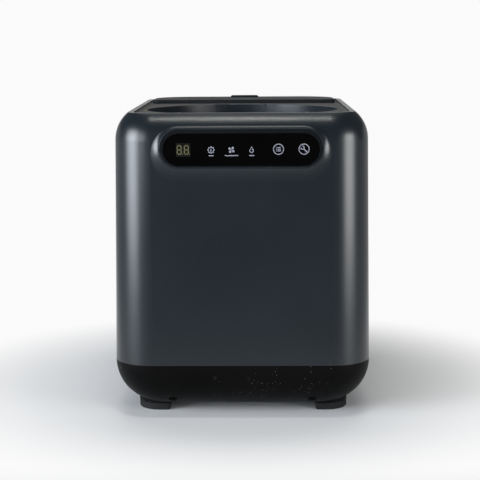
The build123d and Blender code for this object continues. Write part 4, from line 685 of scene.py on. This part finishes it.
def make_signs():
    """Display digits, pictograms and the short bars below them."""
    ink, glow, window = plastic(*SIGN_INK), plastic(*SIGN_GLOW), plastic(*SIGN_WINDOW)
    shader = find_node(glow.node_tree, "BSDF_PRINCIPLED")
    shader.inputs["Emission Color"].default_value = shade(GLOW_COLOUR)
    shader.inputs["Emission Strength"].default_value = GLOW_STRENGTH
    digits = [outline for side in (-1, 1)
              for outline in digit_outlines(DIGIT_MIDDLE - DIGIT_SHIFT + side * DIGIT_PITCH / 2)]
    printed("digit_window_print", [bar((DIGIT_MIDDLE, 0.0), *DIGIT_WINDOW)], window)
    printed("digit_segments", digits, glow, SIGN_LIFT)
    printed("sign_timer", timer_icon(LAMP_SPOTS[0]), ink)
    printed("sign_fan", fan_icon(LAMP_SPOTS[1]), ink)
    printed("sign_drop", drop_icon(LAMP_SPOTS[2]), ink)
    bars = [bar((x, LABEL_LEVEL), width, LABEL_RISE) for x, width in zip(LAMP_SPOTS, LABEL_WIDTHS)]
    printed("sign_labels", bars, ink)
    printed("sign_list", list_icon(KEY_SPOTS[0]), ink)
    printed("sign_tool", tool_icon(KEY_SPOTS[1]), ink)


# ---------------------------------------------------------------- stage
PAPER = 0.96                            # blank paper, seen by the camera and in reflections
PAPER_BASE = 0.92                       # the same paper where it is lit and shadowed
FLOOR_RADIUS = 16.0
FLOOR_SIDES = 96
FLOOR_NEAR = 0.18                       # lit floor out to here
FLOOR_FAR = 0.38                        # blank paper from here, in a strip behind and beside the object
STRIP_FRONT = (-0.52, -0.30)            # the strip fades in over this range of Y
STRIP_EDGE = (0.36, 0.70)               # and fades out sideways over this one
STRIP_WIDENING = 0.2                    # getting wider by this share of the way back
AWAY = (0.32, 1.0)                      # elsewhere the floor is lifted part of the way, over this range
FRONT_SHARE = 0.22                      # to this share of blank paper in front of the object
REMOTE_SHARE = 0.48                     # and to this share beside it
FLANK_EDGE = (0.25, 0.75)               # between the two over this range sideways
FLANK_WIDENING = 0.15                   # the front part getting wider by this share of the way ahead
BACKDROP_RADIUS = 4.8
BACKDROP_LEVELS = (0.0, 0.4, 0.8, 1.2)
BACKDROP_REACH = 65                     # degrees to either side
BACKDROP_STEP = 5


def paper_material():
    """Pale paper: lit and shadowed near the object, blank white behind, lifted part way elsewhere."""
    made, tree, shader = new_material("pale_paper")
    shader.inputs["Base Color"].default_value = shade((PAPER_BASE,) * 3)
    shader.inputs["Roughness"].default_value = 0.9
    shader.inputs["Specular IOR Level"].default_value = 0.1
    coordinates = node(tree, "ShaderNodeTexCoord")
    distance = node(tree, "ShaderNodeVectorMath", operation="LENGTH")
    link(tree, coordinates, "Object", distance, 0)
    parts = node(tree, "ShaderNodeSeparateXYZ")
    link(tree, coordinates, "Object", parts, "Vector")
    aside = maths(tree, "ABSOLUTE", (parts, "X"))

    def eased(source, reach, low=0.0, high=1.0):
        return spread(tree, source, "Value", low, high, *reach, "SMOOTHSTEP"), "Result"

    def widened(share):
        return maths(tree, "MULTIPLY_ADD", (parts, "Y"), share, (aside, "Value"))

    def combined(operation, first, second):
        return maths(tree, operation, first, second), "Value"

    far = eased(distance, (FLOOR_NEAR, FLOOR_FAR))
    behind = (spread(tree, parts, "Y", 0.0, 1.0, *STRIP_FRONT, "SMOOTHSTEP"), "Result")
    strip = eased(widened(-STRIP_WIDENING), STRIP_EDGE, 1.0, 0.0)
    blank = combined("MULTIPLY", combined("MULTIPLY", far, behind), strip)
    flank = eased(widened(FLANK_WIDENING), FLANK_EDGE, FRONT_SHARE, REMOTE_SHARE)
    remote = combined("MULTIPLY", flank, eased(distance, AWAY))
    path = node(tree, "ShaderNodeLightPath")
    seen = combined("MAXIMUM", (path, "Is Camera Ray"), (path, "Is Glossy Ray"))
    seen = combined("MAXIMUM", seen, (path, "Is Transmission Ray"))
    share = combined("MULTIPLY", combined("MAXIMUM", blank, remote), seen)
    glow = node(tree, "ShaderNodeEmission", {"Color": shade((PAPER,) * 3), "Strength": 1.0})
    mixed = node(tree, "ShaderNodeMixShader")
    link(tree, *share, mixed, 0)
    link(tree, shader, "BSDF", mixed, 1)
    link(tree, glow, "Emission", mixed, 2)
    link(tree, mixed, "Shader", find_node(tree, "OUTPUT_MATERIAL"), "Surface")
    return made


def stage_object(name, mesh, material):
    """Puts a stage mesh in the scene."""
    made = new_object(name, mesh, material, True)


def make_stage():
    """A round paper floor with a low curved backdrop behind the object."""
    paper = paper_material()
    mesh = bmesh.new()
    bmesh.ops.create_circle(mesh, cap_ends=True, radius=FLOOR_RADIUS, segments=FLOOR_SIDES)
    stage_object("floor", mesh, paper)
    mesh = bmesh.new()
    angles = [math.radians(a) for a in range(-BACKDROP_REACH, BACKDROP_REACH + 1, BACKDROP_STEP)]
    rows = [[mesh.verts.new((BACKDROP_RADIUS * math.sin(a), BACKDROP_RADIUS * math.cos(a), z))
             for a in angles] for z in BACKDROP_LEVELS]
    for lower, upper in zip(rows, rows[1:]):
        for i in range(len(lower) - 1):
            mesh.faces.new((lower[i], lower[i + 1], upper[i + 1], upper[i]))
    stage_object("backdrop", mesh, paper)


# ---------------------------------------------------------------- light
WORLD_COLOUR = (0.96, 0.98, 1.0)
WORLD_STRENGTH = 0.14
WIDE_GRID, TIGHT_GRID = 60, 50          # degrees that a lamp's honeycomb grid lets through
# name, place, aim, width, height, radiance along the aim, colour, grid
LAMPS = (
    ("window", (-1.24, -0.69, 0.48), (0, 0, 0.34), 0.98, 0.90, 18.0, (0.86, 0.92, 1.0), WIDE_GRID),
    ("window_side", (-0.80, -1.32, 0.58), (0, 0, 0.45), 0.50, 0.70, 6.0, (0.84, 0.92, 1.0), WIDE_GRID),
    ("side_card", (1.10, -0.80, 0.30), (0, -0.05, 0.20), 0.74, 0.62, 10.5, (0.97, 0.99, 1.0),
     WIDE_GRID),
    ("overhead", (-0.012, -0.49, 1.40), (-0.01, -0.12, 0.3), 0.34, 0.12, 22.0, (1.0, 1.0, 0.95),
     TIGHT_GRID),
    ("top_soft", (0.0, 0.45, 1.5), (0, 0.05, 0.1), 1.2, 0.8, 3.2, (1, 1, 1), WIDE_GRID),
)


def area_light(name, place, aim, width, height, radiance, colour, grid):
    """A soft rectangular lamp behind a honeycomb grid, of a given radiance along its aim."""
    data = bpy.data.lights.new(name, "AREA")
    data.shape = "RECTANGLE"
    data.size = width
    data.size_y = height
    data.color = colour
    half = math.radians(grid) / 2
    data.energy = 4 * radiance * width * height * (math.tan(half) - half) / math.tan(half)
    data.spread = math.radians(grid)
    lamp = bpy.data.objects.new(name, data)
    bpy.context.scene.collection.objects.link(lamp)
    lamp.location = place
    lamp.rotation_mode = "QUATERNION"
    lamp.rotation_quaternion = (Vector(aim) - Vector(place)).to_track_quat("-Z", "Y")
    lamp.visible_camera = False


def make_light():
    """Plain soft studio light: a dim even world and five softboxes."""
    world = bpy.data.worlds.new("studio")
    bpy.context.scene.world = world
    world.use_nodes = True
    background = find_node(world.node_tree, "BACKGROUND")
    background.inputs["Color"].default_value = shade(WORLD_COLOUR)
    background.inputs["Strength"].default_value = WORLD_STRENGTH
    for lamp in LAMPS:
        area_light(*lamp)


# ---------------------------------------------------------------- the scene
bpy.context.scene.view_settings.view_transform = "Standard"
make_camera()
materials = make_materials()
dress_cad_nodes(materials)
make_seal(materials)
make_signs()
make_stage()
make_light()
